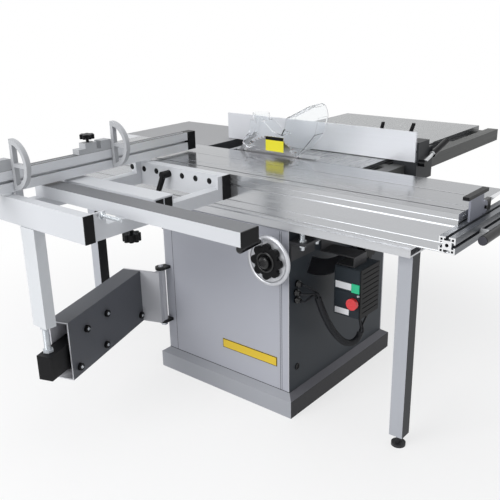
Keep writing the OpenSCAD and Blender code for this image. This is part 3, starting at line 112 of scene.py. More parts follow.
def drawn_lines_group():
    """Fine lines along one direction, as on extruded or ground metal."""
    group, inp, out = new_group(
        "drawn_lines",
        [
            ("Stretch", "NodeSocketVector", (300.0, 2.0, 300.0)),
            ("Low", "NodeSocketFloat", 0.3),
            ("High", "NodeSocketFloat", 0.45),
        ],
        [("Value", "NodeSocketFloat"), ("Mask", "NodeSocketFloat")],
    )
    place = group.nodes.new("ShaderNodeTexCoord")
    stretch = group.nodes.new("ShaderNodeVectorMath")
    stretch.operation = "MULTIPLY"
    noise = group.nodes.new("ShaderNodeTexNoise")
    noise.inputs["Scale"].default_value = 1.0
    noise.inputs["Detail"].default_value = 3.0
    group.links.new(place.outputs["Object"], stretch.inputs[0])
    group.links.new(inp.outputs["Stretch"], stretch.inputs[1])
    group.links.new(stretch.outputs["Vector"], noise.inputs["Vector"])
    spread_noise(group, inp, out, noise)
    return group


def band_group():
    """1 where a position along a direction lies between two limits."""
    group, inp, out = new_group(
        "band",
        [
            ("Direction", "NodeSocketVector", (0.0, 0.0, 1.0)),
            ("From", "NodeSocketFloat", 0.0),
            ("To", "NodeSocketFloat", 1.0),
        ],
        [("Mask", "NodeSocketFloat")],
    )
    place = group.nodes.new("ShaderNodeTexCoord")
    along = group.nodes.new("ShaderNodeVectorMath")
    along.operation = "DOT_PRODUCT"
    above = group.nodes.new("ShaderNodeMath")
    above.operation = "GREATER_THAN"
    below = group.nodes.new("ShaderNodeMath")
    below.operation = "LESS_THAN"
    both = group.nodes.new("ShaderNodeMath")
    both.operation = "MULTIPLY"
    links = group.links
    links.new(place.outputs["Object"], along.inputs[0])
    links.new(inp.outputs["Direction"], along.inputs[1])
    links.new(along.outputs["Value"], above.inputs[0])
    links.new(inp.outputs["From"], above.inputs[1])
    links.new(along.outputs["Value"], below.inputs[0])
    links.new(inp.outputs["To"], below.inputs[1])
    links.new(above.outputs["Value"], both.inputs[0])
    links.new(below.outputs["Value"], both.inputs[1])
    links.new(both.outputs["Value"], out.inputs["Mask"])
    return group


speckle = speckle_group()
drawn_lines = drawn_lines_group()
band = band_group()


# Finishes: a colour with grain or drawn lines, and bands of other colours
def place_group(mat, group, **values):
    node = mat.node_tree.nodes.new("ShaderNodeGroup")
    node.node_tree = group
    for label, value in values.items():
        node.inputs[label].default_value = value
    return node


def mix_colour(mat, mask, first, second):
    """Mixes two colours, each a colour value or a socket, by a mask socket."""
    mix = mat.node_tree.nodes.new("ShaderNodeMix")
    mix.data_type = "RGBA"
    links = mat.node_tree.links
    links.new(mask, mix.inputs["Factor"])
    for side, label in ((first, "A"), (second, "B")):
        socket = [s for s in mix.inputs if s.name == label and s.type == "RGBA"][0]
        if isinstance(side, bpy.types.NodeSocket):
            links.new(side, socket)
        else:
            socket.default_value = (*side, 1.0)
    return [s for s in mix.outputs if s.type == "RGBA"][0]


class Finish:
    """A material with a varied colour, roughness and a fine bump; bands repaint parts of it."""

    def __init__(self, name, colour, low, high, metal=0.0, lines=None, grain=350.0,
                 shade=0.88, bump=0.05, coat=0.0, gloss=0.5):
        relief_depth = 0.001
        self.mat = bpy.data.materials.new(name)
        self.mat.use_nodes = True
        self.tree = self.mat.node_tree
        self.shader = self.tree.nodes["Principled BSDF"]
        self.shader.inputs["Metallic"].default_value = metal
        self.shader.inputs["Coat Weight"].default_value = coat
        self.shader.inputs["Specular IOR Level"].default_value = gloss
        if lines:
            self.texture = place_group(self.mat, drawn_lines, Stretch=lines, Low=low, High=high)
        else:
            self.texture = place_group(self.mat, speckle, Scale=grain, Low=low, High=high)
        darker = tuple(c * shade for c in colour)
        self.colour = mix_colour(self.mat, self.texture.outputs["Mask"], darker, colour)
        links = self.tree.links
        links.new(self.texture.outputs["Value"], self.shader.inputs["Roughness"])
        relief = self.tree.nodes.new("ShaderNodeBump")
        relief.inputs["Strength"].default_value = bump
        relief.inputs["Distance"].default_value = relief_depth
        links.new(self.texture.outputs["Mask"], relief.inputs["Height"])
        links.new(relief.outputs["Normal"], self.shader.inputs["Normal"])
        self.link_colour()

    def link_colour(self):
        self.tree.links.new(self.colour, self.shader.inputs["Base Color"])

    def repaint(self, direction, start, end, colour, *further):
        """Another colour between two distances in metres along a direction, within any further limits."""
        mask = None
        for way, low, high in ((direction, start, end), *further):
            area = place_group(self.mat, band, Direction=way, From=low, To=high).outputs["Mask"]
            if mask:
                both = self.tree.nodes.new("ShaderNodeMath")
                both.operation = "MULTIPLY"
                self.tree.links.new(mask, both.inputs[0])
                self.tree.links.new(area, both.inputs[1])
                area = both.outputs["Value"]
            mask = area
        self.colour = mix_colour(self.mat, mask, self.colour, colour)
        self.link_colour()


# Directions, stretches of drawn lines, and colours that finishes share
X, Y, Z = (1.0, 0.0, 0.0), (0.0, 1.0, 0.0), (0.0, 0.0, 1.0)
FAR = 10.0
along_slide = (260.0, 1.5, 260.0)
along_fence = (1.5, 260.0, 260.0)
across_table = (8.0, 420.0, 420.0)
black = (0.005, 0.0052, 0.006)
dark_grey = (0.02, 0.022, 0.026)
# light_grey is the colour of a painted highlight down the cabinet's right front corner
light_grey = (0.5, 0.51, 0.54)
frame_grey = (0.59, 0.605, 0.63)

# Faces that finishes and pieces share; a band on a flat face reaches just past it, by the skin
skin = 0.0005
table_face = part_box("main_table")[1].z - skin
cabinet_low, cabinet_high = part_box("cabinet")
cabinet_left = -cabinet_high.x
plinth_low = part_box("plinth")[0]

# Finishes that many parts use
dark_steel = Finish("dark_steel", (0.05, 0.05, 0.054), 0.45, 0.6, metal=0.3, grain=300)
zinc = Finish("zinc", (0.6, 0.63, 0.66), 0.2, 0.35, metal=1.0, grain=500)
black_plastic = Finish("black_plastic", black, 0.35, 0.5, grain=900, bump=0.08, gloss=0.14)
polished_black = Finish("polished_black", black, 0.16, 0.3, grain=700, bump=0.03)
rubber = Finish("rubber", (0.01, 0.011, 0.014), 0.45, 0.6, grain=700, bump=0.1, gloss=0.3)

# Cabinet: dark front wall with painted highlights on its front corner edges, dark foot and black hinge lugs
cabinet_paint = Finish("cabinet_paint", (0.42, 0.43, 0.475), 0.4, 0.52,
                       grain=700, shade=0.95, bump=0.04, gloss=0.3)
fold_r, edge_w, corner_w, foot_h, lug_gap = 0.0015, 0.003, 0.0065, 0.0025, 0.0013
front_fold = cabinet_low.y + fold_r
cabinet_paint.repaint(Y, -FAR, front_fold, (0.016, 0.022, 0.03))
# Painted highlights: a pale strip on the side walls just behind the front fold, and one down the front wall's
# right corner
cabinet_paint.repaint(Y, front_fold, front_fold + edge_w, (0.52, 0.53, 0.56))
cabinet_paint.repaint(X, cabinet_high.x - corner_w, FAR, light_grey, (Y, -FAR, front_fold))
cabinet_paint.repaint(Z, -FAR, cabinet_low.z + foot_h, dark_grey)
cabinet_paint.repaint(X, -FAR, cabinet_left - lug_gap, black)
seam_dark = Finish("seam_dark", (0.05, 0.052, 0.058), 0.5, 0.6, grain=400)
yellow_plate = Finish("yellow_plate", (0.75, 0.52, 0.02), 0.3, 0.42, grain=500)

# Plinth: painted shade on its front slope and front face, from the mitre at the left corner
plinth_paint = Finish("plinth_paint", (0.36, 0.37, 0.4), 0.42, 0.55, grain=700, shade=0.94, gloss=0.3)
slope_d = 0.025
mitre = ((1.0, -1.0, 0.0), plinth_low.x - plinth_low.y, FAR)
# Painted shade: the front slope is darker, and the front face darker still
plinth_paint.repaint(Y, -FAR, plinth_low.y + slope_d, (0.14, 0.14, 0.155), mitre)
plinth_paint.repaint(Y, -FAR, plinth_low.y + skin, (0.012, 0.012, 0.015))

# Tables: ground tops over cast undersides, and a painted outfeed board
ground_iron = Finish("ground_iron", (0.29, 0.3, 0.307), 0.2, 0.34, metal=0.5, lines=across_table, shade=0.85)
ground_iron.repaint(Z, -FAR, table_face, (0.14, 0.145, 0.15))
outfeed_paint = Finish("outfeed_paint", (0.31, 0.312, 0.32), 0.45, 0.6, grain=500, shade=0.94)
outfeed_edge = 0.0015
outfeed_paint.repaint(Z, -FAR, table_face, (0.68, 0.69, 0.7))
outfeed_paint.repaint(Y, -FAR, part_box("rear_table")[0].y + outfeed_edge, dark_grey)
insert_metal = Finish("insert_metal", (0.42, 0.43, 0.44), 0.25, 0.4, metal=0.7, lines=along_slide)

# Legs: painted shade on their front faces, and dark feet
leg_paint = Finish("leg_paint", (0.44, 0.455, 0.49), 0.4, 0.52, grain=600, shade=0.95, gloss=0.25)
rear_leg_face, leg_foot_h = 0.776, 0.042
# Painted shade on the front faces of the front and rear legs
leg_paint.repaint(Y, -FAR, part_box("legs")[0].y + skin, (0.014, 0.017, 0.02))
leg_paint.repaint(Y, rear_leg_face - skin, rear_leg_face + skin, black)
leg_paint.repaint(Z, -FAR, leg_foot_h, (0.03, 0.03, 0.032))

# Slide: a polished top with bright slot lines, and painted light on its end face
drawn_aluminium = Finish("drawn_aluminium", (0.6, 0.61, 0.63), 0.3, 0.42,
                         metal=0.75, lines=along_slide, shade=0.9)
carriage_metal = Finish("carriage_metal", (0.53, 0.54, 0.555), 0.13, 0.22,
                        metal=0.85, lines=along_slide, shade=0.9)
blade_side = -0.182
slot_lines = ((-0.1545, 0.003), (-0.267, 0.003), (-0.313, 0.0068))
carriage_metal.repaint(X, blade_side, FAR, (0.2, 0.205, 0.21))
carriage_metal.repaint(Z, table_face, FAR, (0.3, 0.31, 0.325))
for line_x, line_half in slot_lines:
    carriage_metal.repaint(X, line_x - line_half, line_x + line_half, (0.72, 0.73, 0.75))
# Painted light: the end face, which gets little light from the lamps, is made brighter
carriage_metal.repaint(Y, -FAR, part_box("carriage")[0].y + skin, (0.8, 0.81, 0.83))

# End of the slide: bar, push handle and flip-up stop
bar_metal = Finish("bar_metal", (0.13, 0.14, 0.155), 0.25, 0.4, metal=0.6, lines=along_fence, shade=0.85)
bar_top = 0.8285
bar_metal.repaint(X, -FAR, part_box("end_bar")[0].x + skin, (0.78, 0.79, 0.8))
bar_metal.repaint(Z, bar_top, FAR, black)
handle_plastic = Finish("handle_plastic", black, 0.3, 0.45, grain=700, bump=0.06, gloss=0.3)
handle_end, handle_posts = 0.0038, -0.9488
handle_plastic.repaint(X, -FAR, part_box("push_handle")[0].x + handle_end, (0.05, 0.05, 0.062))
handle_plastic.repaint(Y, handle_posts, FAR, (0.5, 0.51, 0.52))
flag_paint = Finish("flag_paint", (0.3, 0.31, 0.36), 0.35, 0.5, grain=500, gloss=0.15)
flag_tip = 0.0095
flag_paint.repaint(Z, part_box("end_stop")[1].z - flag_tip, FAR, black)

# Cross-cut frame and fence
frame_paint = Finish("frame_paint", frame_grey, 0.4, 0.52, grain=600, shade=0.95)
support_paint = Finish("support_paint", frame_grey, 0.4, 0.52, grain=600, shade=0.95)
support_paint.repaint(Z, table_face, FAR, (0.13, 0.135, 0.145))
fence_metal = Finish("fence_metal", (0.74, 0.755, 0.78), 0.34, 0.46, metal=0.35, lines=along_fence, shade=0.9)
fence_metal.repaint(Z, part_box("crosscut_fence")[1].z - skin, FAR, (0.1, 0.102, 0.106))
stop_paint = Finish("stop_paint", (0.46, 0.47, 0.485), 0.4, 0.5, grain=600, shade=0.94, gloss=0.3)

# Swing arm: pale hinge plate, pale far rim and pale inside of its box; post with a bare rod
arm_turn = math.radians(19.4)
arm_along = (-math.cos(arm_turn), -math.sin(arm_turn), 0.0)
arm_across = (-arm_along[1], arm_along[0], 0.0)
arm_pin = Vector((-0.357, 0.293, 0.0))
arm_start, arm_side = arm_pin.dot(Vector(arm_along)), arm_pin.dot(Vector(arm_across))
arm_plate_l, arm_rim_from, arm_inside_from = 0.0402, 0.5292, 0.042
arm_inside_far, arm_inside_near = 0.143, 0.072
arm_inside_low, arm_inside_high = 0.224, 0.43
arm_paint = Finish("arm_paint", (0.085, 0.09, 0.102), 0.4, 0.52, grain=600, gloss=0.3)
arm_paint.repaint(arm_along, -FAR, arm_start + arm_plate_l, (0.48, 0.485, 0.51))
arm_paint.repaint(arm_along, arm_start + arm_rim_from, FAR, (0.6, 0.61, 0.63))
arm_paint.repaint(
    arm_along, arm_start + arm_inside_from, FAR, (0.6, 0.6, 0.63),
    (arm_across, arm_side - arm_inside_far, arm_side - arm_inside_near), (Z, arm_inside_low, arm_inside_high),
)
inner_arm_paint = Finish("inner_arm_paint", (0.006, 0.006, 0.007), 0.35, 0.5, grain=600, gloss=0.15)
post_paint = Finish("post_paint", (0.62, 0.64, 0.66), 0.4, 0.5, grain=600, shade=0.95)
post_rod_top = 0.4449
post_paint.repaint(Z, -FAR, post_rod_top, (0.55, 0.58, 0.61))

# Rip fence: rail, head, face, and a lever with a bare stem between black ends
rail_paint = Finish("rail_paint", (0.06, 0.062, 0.06), 0.4, 0.5, lines=along_fence, gloss=0.25)
head_paint = Finish("head_paint", (0.025, 0.027, 0.03), 0.4, 0.55, grain=500, gloss=0.2)
face_metal = Finish("face_metal", (0.72, 0.735, 0.77), 0.3, 0.42,
                    metal=0.25, lines=along_slide, shade=0.95, bump=0.02)
cam_metal = Finish("cam_metal", (0.7, 0.71, 0.72), 0.25, 0.38, metal=0.4, grain=300, gloss=0.14)
cam_grip_from, cam_boss_to = 0.236, 0.1755
cam_metal.repaint(X, cam_grip_from, FAR, black)
cam_metal.repaint(X, -FAR, cam_boss_to, black)

# Saw unit, blade, guard and handwheel
motor_paint = Finish("motor_paint", (0.05, 0.055, 0.06), 0.4, 0.55, grain=400)
blade_steel = Finish("blade_steel", (0.46, 0.46, 0.48), 0.28, 0.42, metal=0.8, grain=250)
carbide = Finish("carbide", (0.26, 0.13, 0.08), 0.3, 0.45, metal=0.2, grain=800)
# Pale opaque beads on the guard's edges: painted highlights of the clear plastic
edge_highlight_white = Finish("edge_highlight_white", (0.72, 0.74, 0.77), 0.12, 0.25, grain=400, bump=0.02)
label_yellow = Finish("label_yellow", (0.88, 0.8, 0.03), 0.3, 0.42, grain=500)
wheel_metal = Finish("wheel_metal", (0.62, 0.63, 0.66), 0.28, 0.4, metal=0.65, grain=300)

# Switch: a black front side
switch_plastic = Finish("switch_plastic", (0.03, 0.038, 0.046), 0.4, 0.52, grain=900, bump=0.08, gloss=0.15)
switch_side = 0.0035
switch_plastic.repaint(Y, -FAR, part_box("switch_box")[0].y + switch_side, black)
green_plastic = Finish("green_plastic", (0.02, 0.62, 0.3), 0.25, 0.35, grain=500)
red_plastic = Finish("red_plastic", (0.82, 0.03, 0.04), 0.22, 0.32, grain=500, coat=0.3)
pale_plate = Finish("pale_plate", (0.92, 0.93, 0.95), 0.3, 0.45, grain=500)


# Guard: clear plastic
def clear_guard():
    mat = bpy.data.materials.new("clear_guard")
    mat.use_nodes = True
    shader = mat.node_tree.nodes["Principled BSDF"]
    shader.inputs["Base Color"].default_value = (0.97, 0.98, 0.985, 1.0)
    shader.inputs["IOR"].default_value = 1.11
    shader.inputs["Transmission Weight"].default_value = 1.0
    texture = place_group(mat, speckle, Scale=60.0, Low=0.0, High=0.03)
    mat.node_tree.links.new(texture.outputs["Value"], shader.inputs["Roughness"])
    return mat


# The finish of every part of the frame
finish_of = {
    "cabinet": cabinet_paint, "plinth": plinth_paint, "main_table": ground_iron, "right_table": ground_iron,
    "rear_table": outfeed_paint, "table_insert": insert_metal, "rear_table_arms": dark_steel,
    "fence_rail": rail_paint, "base_beam": drawn_aluminium, "beam_brackets": dark_steel,
    "levelling_bolts": zinc, "legs": leg_paint, "trunnions": dark_steel, "switch_box": switch_plastic,
    "switch_bracket": dark_steel, "cable_leads": rubber, "switch_conduit": rubber, "tilt_frame": dark_steel,
    "riving_knife": blade_steel, "tilt_handwheel": wheel_metal, "wheel_knob": black_plastic,
    "crank_grip": polished_black, "height_knob": black_plastic, "saw_unit": motor_paint, "motor": motor_paint,
    "drive_belt": rubber, "saw_blade": blade_steel, "arbor": zinc, "motor_pulley": zinc,
    "carriage": carriage_metal, "inner_rail": frame_paint, "outer_beam": frame_paint,
    "cross_tubes": frame_paint, "support_beam": support_paint, "support_profile": frame_paint,
    "end_caps": black_plastic, "end_bar": bar_metal, "push_handle": handle_plastic, "end_stop": flag_paint,
    "crosscut_fence": fence_metal, "fence_tip": black_plastic, "stop_blocks": stop_paint,
    "flip_stop_left": stop_paint, "flip_stop_right": stop_paint, "stop_knob_left": black_plastic,
    "stop_knob_right": black_plastic, "clamp_lever": black_plastic, "beam_knob": black_plastic,
    "arm_box": arm_paint, "arm_bolts": black_plastic, "inner_arm": inner_arm_paint, "post": post_paint,
    "fence_head": head_paint, "fence_face": face_metal, "cam_lever": cam_metal,
    "face_lever_front": black_plastic, "face_lever_rear": black_plastic, "start_button": green_plastic,
    "stop_button": red_plastic,
}


def dress_cad():
    for name, finish in finish_of.items():
        set_material(nodes[name], finish.mat)
    set_material(nodes["guard_hood"], clear_guard())


def set_material(obj, mat):
    obj.data.materials.clear()
    obj.data.materials.append(mat)


# Floor, world and lamps
def make_floor():
    floor_half = 12.0
    corners = [(x * floor_half, y * floor_half, 0.0) for x, y in ((-1, -1), (1, -1), (1, 1), (-1, 1))]
    mesh = bpy.data.meshes.new("floor")
    mesh.from_pydata(corners, [], [(0, 1, 2, 3)])
    floor = bpy.data.objects.new("floor", mesh)
    scene.collection.objects.link(floor)
    mat = bpy.data.materials.new("pale_floor")
    mat.use_nodes = True
    shader = mat.node_tree.nodes["Principled BSDF"]
    texture = place_group(mat, speckle, Scale=30.0, Low=0.6, High=0.7)
    pale = mix_colour(mat, texture.outputs["Mask"], (0.86, 0.86, 0.86), (0.88, 0.88, 0.88))
    mat.node_tree.links.new(pale, shader.inputs["Base Color"])
    mat.node_tree.links.new(texture.outputs["Value"], shader.inputs["Roughness"])
    whiten_far(mat, shader)
    mesh.materials.append(mat)


def make_world():
    """Soft light all round, seen as plain white."""
    world = bpy.data.worlds.new("studio")
    scene.world = world
    world.use_nodes = True
    tree = world.node_tree
    shade = tree.nodes["Background"]
    shade.inputs["Color"].default_value = (0.93, 0.95, 1.0, 1.0)
    shade.inputs["Strength"].default_value = 0.36
    seen = tree.nodes.new("ShaderNodeBackground")
    seen.inputs["Color"].default_value = (1.0, 1.0, 1.0, 1.0)
    choose = tree.nodes.new("ShaderNodeMixShader")
    tree.links.new(seen_rays(tree), choose.inputs["Fac"])
    tree.links.new(shade.outputs["Background"], choose.inputs[1])
    tree.links.new(seen.outputs["Background"], choose.inputs[2])
    tree.links.new(choose.outputs["Shader"], tree.nodes["World Output"].inputs["Surface"])


def seen_rays(tree):
    """1 for what the camera sees, straight, in a reflection or through the guard."""
    rays = tree.nodes.new("ShaderNodeLightPath")
    last = rays.outputs["Is Camera Ray"]
    for label in ("Is Glossy Ray", "Is Transmission Ray"):
        either = tree.nodes.new("ShaderNodeMath")
        either.operation = "MAXIMUM"
        tree.links.new(last, either.inputs[0])
        tree.links.new(rays.outputs[label], either.inputs[1])
        last = either.outputs["Value"]
    return last


def whiten_far(mat, shader):
    """Fades the floor to plain white away from the machine, and keeps the shadow near it."""
    near, far, near_white = 0.9, 2.2, 0.7
    tree = mat.node_tree
    place = tree.nodes.new("ShaderNodeTexCoord")
    reach = tree.nodes.new("ShaderNodeVectorMath")
    reach.operation = "LENGTH"
    fade = tree.nodes.new("ShaderNodeMapRange")
    fade.interpolation_type = "SMOOTHSTEP"
    fade.inputs["From Min"].default_value = near
    fade.inputs["From Max"].default_value = far
    fade.inputs["To Min"].default_value = near_white
    share = tree.nodes.new("ShaderNodeMath")
    share.operation = "MULTIPLY"
    white = tree.nodes.new("ShaderNodeEmission")
    mix = tree.nodes.new("ShaderNodeMixShader")
    links = tree.links
    links.new(place.outputs["Object"], reach.inputs[0])
    links.new(reach.outputs["Value"], fade.inputs["Value"])
    links.new(fade.outputs["Result"], share.inputs[0])
    links.new(seen_rays(tree), share.inputs[1])
    links.new(share.outputs["Value"], mix.inputs["Fac"])
    links.new(shader.outputs["BSDF"], mix.inputs[1])
    links.new(white.outputs["Emission"], mix.inputs[2])
    links.new(mix.outputs["Shader"], tree.nodes["Material Output"].inputs["Surface"])


def make_lamps():
    """Square lamps: place, target, side in metres and power in watts."""
    lamps = {
        "left_window": ((-4.5, 0.8, 2.6), (-0.3, 0.0, 0.5), 3.0, 150.0),
        "ceiling": ((0.2, -0.2, 4.2), (0.0, 0.0, 0.8), 4.0, 75.0),
        "front_fill": ((-1.0, -4.5, 1.8), (0.0, 0.0, 0.6), 2.5, 14.0),
    }
    for name, (place, target, side, power) in lamps.items():
        data = bpy.data.lights.new(name, "AREA")
        data.size = side
        data.energy = power
        lamp = bpy.data.objects.new(name, data)
        lamp.location = place
        lamp.rotation_euler = (Vector(target) - Vector(place)).to_track_quat("-Z", "Y").to_euler()
        scene.collection.objects.link(lamp)


# Builders for the added pieces
def show_piece(name, mesh, body):
    piece = bpy.data.objects.new(name, mesh)
    scene.collection.objects.link(piece)
    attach(piece, body)
    return piece


def show_solid(name, bm, finishes, body):
    """Makes a piece of a bmesh, with its faces outwards."""
    bmesh.ops.recalc_face_normals(bm, faces=bm.faces)
    mesh = bpy.data.meshes.new(name)
    bm.to_mesh(mesh)
    bm.free()
    for finish in finishes:
        mesh.materials.append(finish.mat)
    return show_piece(name, mesh, body)


def add_slab(bm, low, high, rounding=0.0, material=0):
    """A block between two corners, its edges rounded."""
    low, high = Vector(low), Vector(high)
    verts = bmesh.ops.create_cube(bm, size=1.0)["verts"]
    bmesh.ops.scale(bm, vec=high - low, verts=verts)
    bmesh.ops.translate(bm, vec=(low + high) / 2, verts=verts)
    faces = {f for v in verts for f in v.link_faces}
    for face in faces:
        face.material_index = material
    if rounding:
        edges = list({e for v in verts for e in v.link_edges})
        bmesh.ops.bevel(bm, geom=edges, offset=rounding, segments=2, affect="EDGES", profile=0.5)


def add_turned(bm, start, end, profile, sides=32):
    """A turned form between two points: profile holds pairs of share along the axis and radius."""
    start, end = Vector(start), Vector(end)
    turn = (end - start).to_track_quat("Z", "Y").to_matrix()
    rings = []
    for share, radius in profile:
        middle = start.lerp(end, share)
        ring = [
            bm.verts.new(middle + turn @ Vector((radius * math.cos(a), radius * math.sin(a), 0.0)))
            for a in (math.tau * i / sides for i in range(sides))
        ]
        rings.append(ring)
    for below, above in zip(rings, rings[1:]):
        for i in range(sides):
            j = (i + 1) % sides
            bm.faces.new((below[i], below[j], above[j], above[i])).smooth = True
    bm.faces.new(rings[0][::-1])
    bm.faces.new(rings[-1])


# Geometry Nodes trees for what repeats
def new_tree(name, inputs):
    tree = bpy.data.node_groups.new(name, "GeometryNodeTree")
    tree.interface.new_socket("Geometry", in_out="INPUT", socket_type="NodeSocketGeometry")
    for label, kind, value in inputs:
        socket = tree.interface.new_socket(label, in_out="INPUT", socket_type=kind)
        if value is not None:
            socket.default_value = value
    tree.interface.new_socket("Geometry", in_out="OUTPUT", socket_type="NodeSocketGeometry")
    return tree, tree.nodes.new("NodeGroupInput"), tree.nodes.new("NodeGroupOutput")


def end_tree(tree, inp, out, geometry):
    realize = tree.nodes.new("GeometryNodeRealizeInstances")
    paint = tree.nodes.new("GeometryNodeSetMaterial")
    tree.links.new(geometry, realize.inputs["Geometry"])
    tree.links.new(realize.outputs["Geometry"], paint.inputs["Geometry"])
    tree.links.new(inp.outputs["Finish"], paint.inputs["Material"])
    tree.links.new(paint.outputs["Geometry"], out.inputs["Geometry"])


def heads_tree():
    """A head on a washer at every point: bolt heads, plugs and screws."""
    tree, inp, out = new_tree("heads", [
        ("Washer Radius", "NodeSocketFloat", 0.01), ("Washer Height", "NodeSocketFloat", 0.002),
        ("Head Radius", "NodeSocketFloat", 0.008), ("Head Height", "NodeSocketFloat", 0.006),
        ("Head Sides", "NodeSocketInt", 6), ("Turn", "NodeSocketRotation", None),
        ("Finish", "NodeSocketMaterial", None),
    ])
    top_share, washer_sides = 0.86, 32
    make, link = tree.nodes.new, tree.links.new
    parts = make("GeometryNodeJoinGeometry")
    for label, sides in (("Head", None), ("Washer", washer_sides)):
        cone = make("GeometryNodeMeshCone")
        shrink = make("ShaderNodeMath")
        shrink.operation = "MULTIPLY"
        shrink.inputs[1].default_value = top_share
        link(inp.outputs[label + " Radius"], cone.inputs["Radius Bottom"])
        link(inp.outputs[label + " Radius"], shrink.inputs[0])
        link(shrink.outputs["Value"], cone.inputs["Radius Top"])
        link(inp.outputs[label + " Height"], cone.inputs["Depth"])
        if sides:
            cone.inputs["Vertices"].default_value = sides
        else:
            link(inp.outputs["Head Sides"], cone.inputs["Vertices"])
        link(cone.outputs["Mesh"], parts.inputs["Geometry"])
    spread = make("GeometryNodeInstanceOnPoints")
    link(inp.outputs["Geometry"], spread.inputs["Points"])
    link(parts.outputs["Geometry"], spread.inputs["Instance"])
    link(inp.outputs["Turn"], spread.inputs["Rotation"])
    end_tree(tree, inp, out, spread.outputs["Instances"])
    return tree


def ribbed_tree():
    """A round tube along a path, with ribs round it at even steps: sleeves and threads."""
    tree, inp, out = new_tree("ribbed", [
        ("Radius", "NodeSocketFloat", 0.01), ("Rib", "NodeSocketFloat", 0.001),
        ("Step", "NodeSocketFloat", 0.003), ("Finish", "NodeSocketMaterial", None),
    ])
    make, link = tree.nodes.new, tree.links.new
    path = make("GeometryNodeMeshToCurve")
    link(inp.outputs["Geometry"], path.inputs["Mesh"])
    section = make("GeometryNodeCurvePrimitiveCircle")
    section.inputs["Resolution"].default_value = 24
    link(inp.outputs["Radius"], section.inputs["Radius"])
    tube = make("GeometryNodeCurveToMesh")
    tube.inputs["Fill Caps"].default_value = True
    link(path.outputs["Curve"], tube.inputs["Curve"])
    link(section.outputs["Curve"], tube.inputs["Profile Curve"])
    bead = make("GeometryNodeCurvePrimitiveCircle")
    bead.inputs["Resolution"].default_value = 6
    link(inp.outputs["Rib"], bead.inputs["Radius"])
    ring = make("GeometryNodeCurveToMesh")
    link(section.outputs["Curve"], ring.inputs["Curve"])
    link(bead.outputs["Curve"], ring.inputs["Profile Curve"])
    places = make("GeometryNodeCurveToPoints")
    places.mode = "LENGTH"
    link(path.outputs["Curve"], places.inputs["Curve"])
    link(inp.outputs["Step"], places.inputs["Length"])
    ribs = make("GeometryNodeInstanceOnPoints")
    link(places.outputs["Points"], ribs.inputs["Points"])
    link(places.outputs["Rotation"], ribs.inputs["Rotation"])
    link(ring.outputs["Mesh"], ribs.inputs["Instance"])
    both = make("GeometryNodeJoinGeometry")
    link(ribs.outputs["Instances"], both.inputs["Geometry"])
    link(tube.outputs["Mesh"], both.inputs["Geometry"])
    end_tree(tree, inp, out, both.outputs["Geometry"])
    return tree


def beads_tree():
    """A thin round bead along every path."""
    tree, inp, out = new_tree("beads", [
        ("Radius", "NodeSocketFloat", 0.001), ("Finish", "NodeSocketMaterial", None),
    ])
    make, link = tree.nodes.new, tree.links.new
    path = make("GeometryNodeMeshToCurve")
    section = make("GeometryNodeCurvePrimitiveCircle")
    section.inputs["Resolution"].default_value = 8
    tube = make("GeometryNodeCurveToMesh")
    tube.inputs["Fill Caps"].default_value = True
    link(inp.outputs["Geometry"], path.inputs["Mesh"])
    link(inp.outputs["Radius"], section.inputs["Radius"])
    link(path.outputs["Curve"], tube.inputs["Curve"])
    link(section.outputs["Curve"], tube.inputs["Profile Curve"])
    end_tree(tree, inp, out, tube.outputs["Mesh"])
    return tree


def tips_tree():
    """A cutting tip at every point, each turned to face away from the centre."""
    tree, inp, out = new_tree("tips", [
        ("Centre", "NodeSocketVector", (0.0, 0.0, 0.0)), ("Size", "NodeSocketVector", (0.003, 0.002, 0.003)),
        ("Finish", "NodeSocketMaterial", None),
    ])
    make, link = tree.nodes.new, tree.links.new
    block = make("GeometryNodeMeshCube")
    link(inp.outputs["Size"], block.inputs["Size"])
    place = make("GeometryNodeInputPosition")
    outward = make("ShaderNodeVectorMath")
    outward.operation = "SUBTRACT"
    link(place.outputs["Position"], outward.inputs[0])
    link(inp.outputs["Centre"], outward.inputs[1])
    turn = make("FunctionNodeAlignRotationToVector")
    turn.axis = "Z"
    turn.pivot_axis = "X"
    link(outward.outputs["Vector"], turn.inputs["Vector"])
    spread = make("GeometryNodeInstanceOnPoints")
    link(inp.outputs["Geometry"], spread.inputs["Points"])
    link(block.outputs["Mesh"], spread.inputs["Instance"])
    link(turn.outputs["Rotation"], spread.inputs["Rotation"])
    end_tree(tree, inp, out, spread.outputs["Instances"])
    return tree


def grow(name, tree, points, values, finish, body, paths=()):
    """Runs a tree on points, joined along paths, and keeps the result as a plain piece."""
    seeds = bpy.data.meshes.new(name + "_seeds")
    seeds.from_pydata([Vector(p) for p in points], list(paths), [])
    host = bpy.data.objects.new(name + "_seeds", seeds)
    scene.collection.objects.link(host)
    modifier = host.modifiers.new("grow", "NODES")
    modifier.node_group = tree
    for item in tree.interface.items_tree:
        if item.in_out == "INPUT" and item.name in values:
            modifier[item.identifier] = values[item.name]
        if item.in_out == "INPUT" and item.name == "Finish":
            modifier[item.identifier] = finish.mat
    depsgraph = bpy.context.evaluated_depsgraph_get()
    mesh = bpy.data.meshes.new_from_object(host.evaluated_get(depsgraph))
    mesh.name = name
    bpy.data.objects.remove(host)
    return show_piece(name, mesh, body)


def straight_paths(lines):
    """Points and edges of separate straight lines."""
    points = [end for line in lines for end in line]
    return points, [(2 * i, 2 * i + 1) for i in range(len(lines))]


heads, ribbed, beads, tips = heads_tree(), ribbed_tree(), beads_tree(), tips_tree()
faces_left = (0.0, -math.pi / 2, 0.0)
faces_front = (math.pi / 2, 0.0, 0.0)
faces_up = (0.0, 0.0, 0.0)
faces_down = (math.pi, 0.0, 0.0)


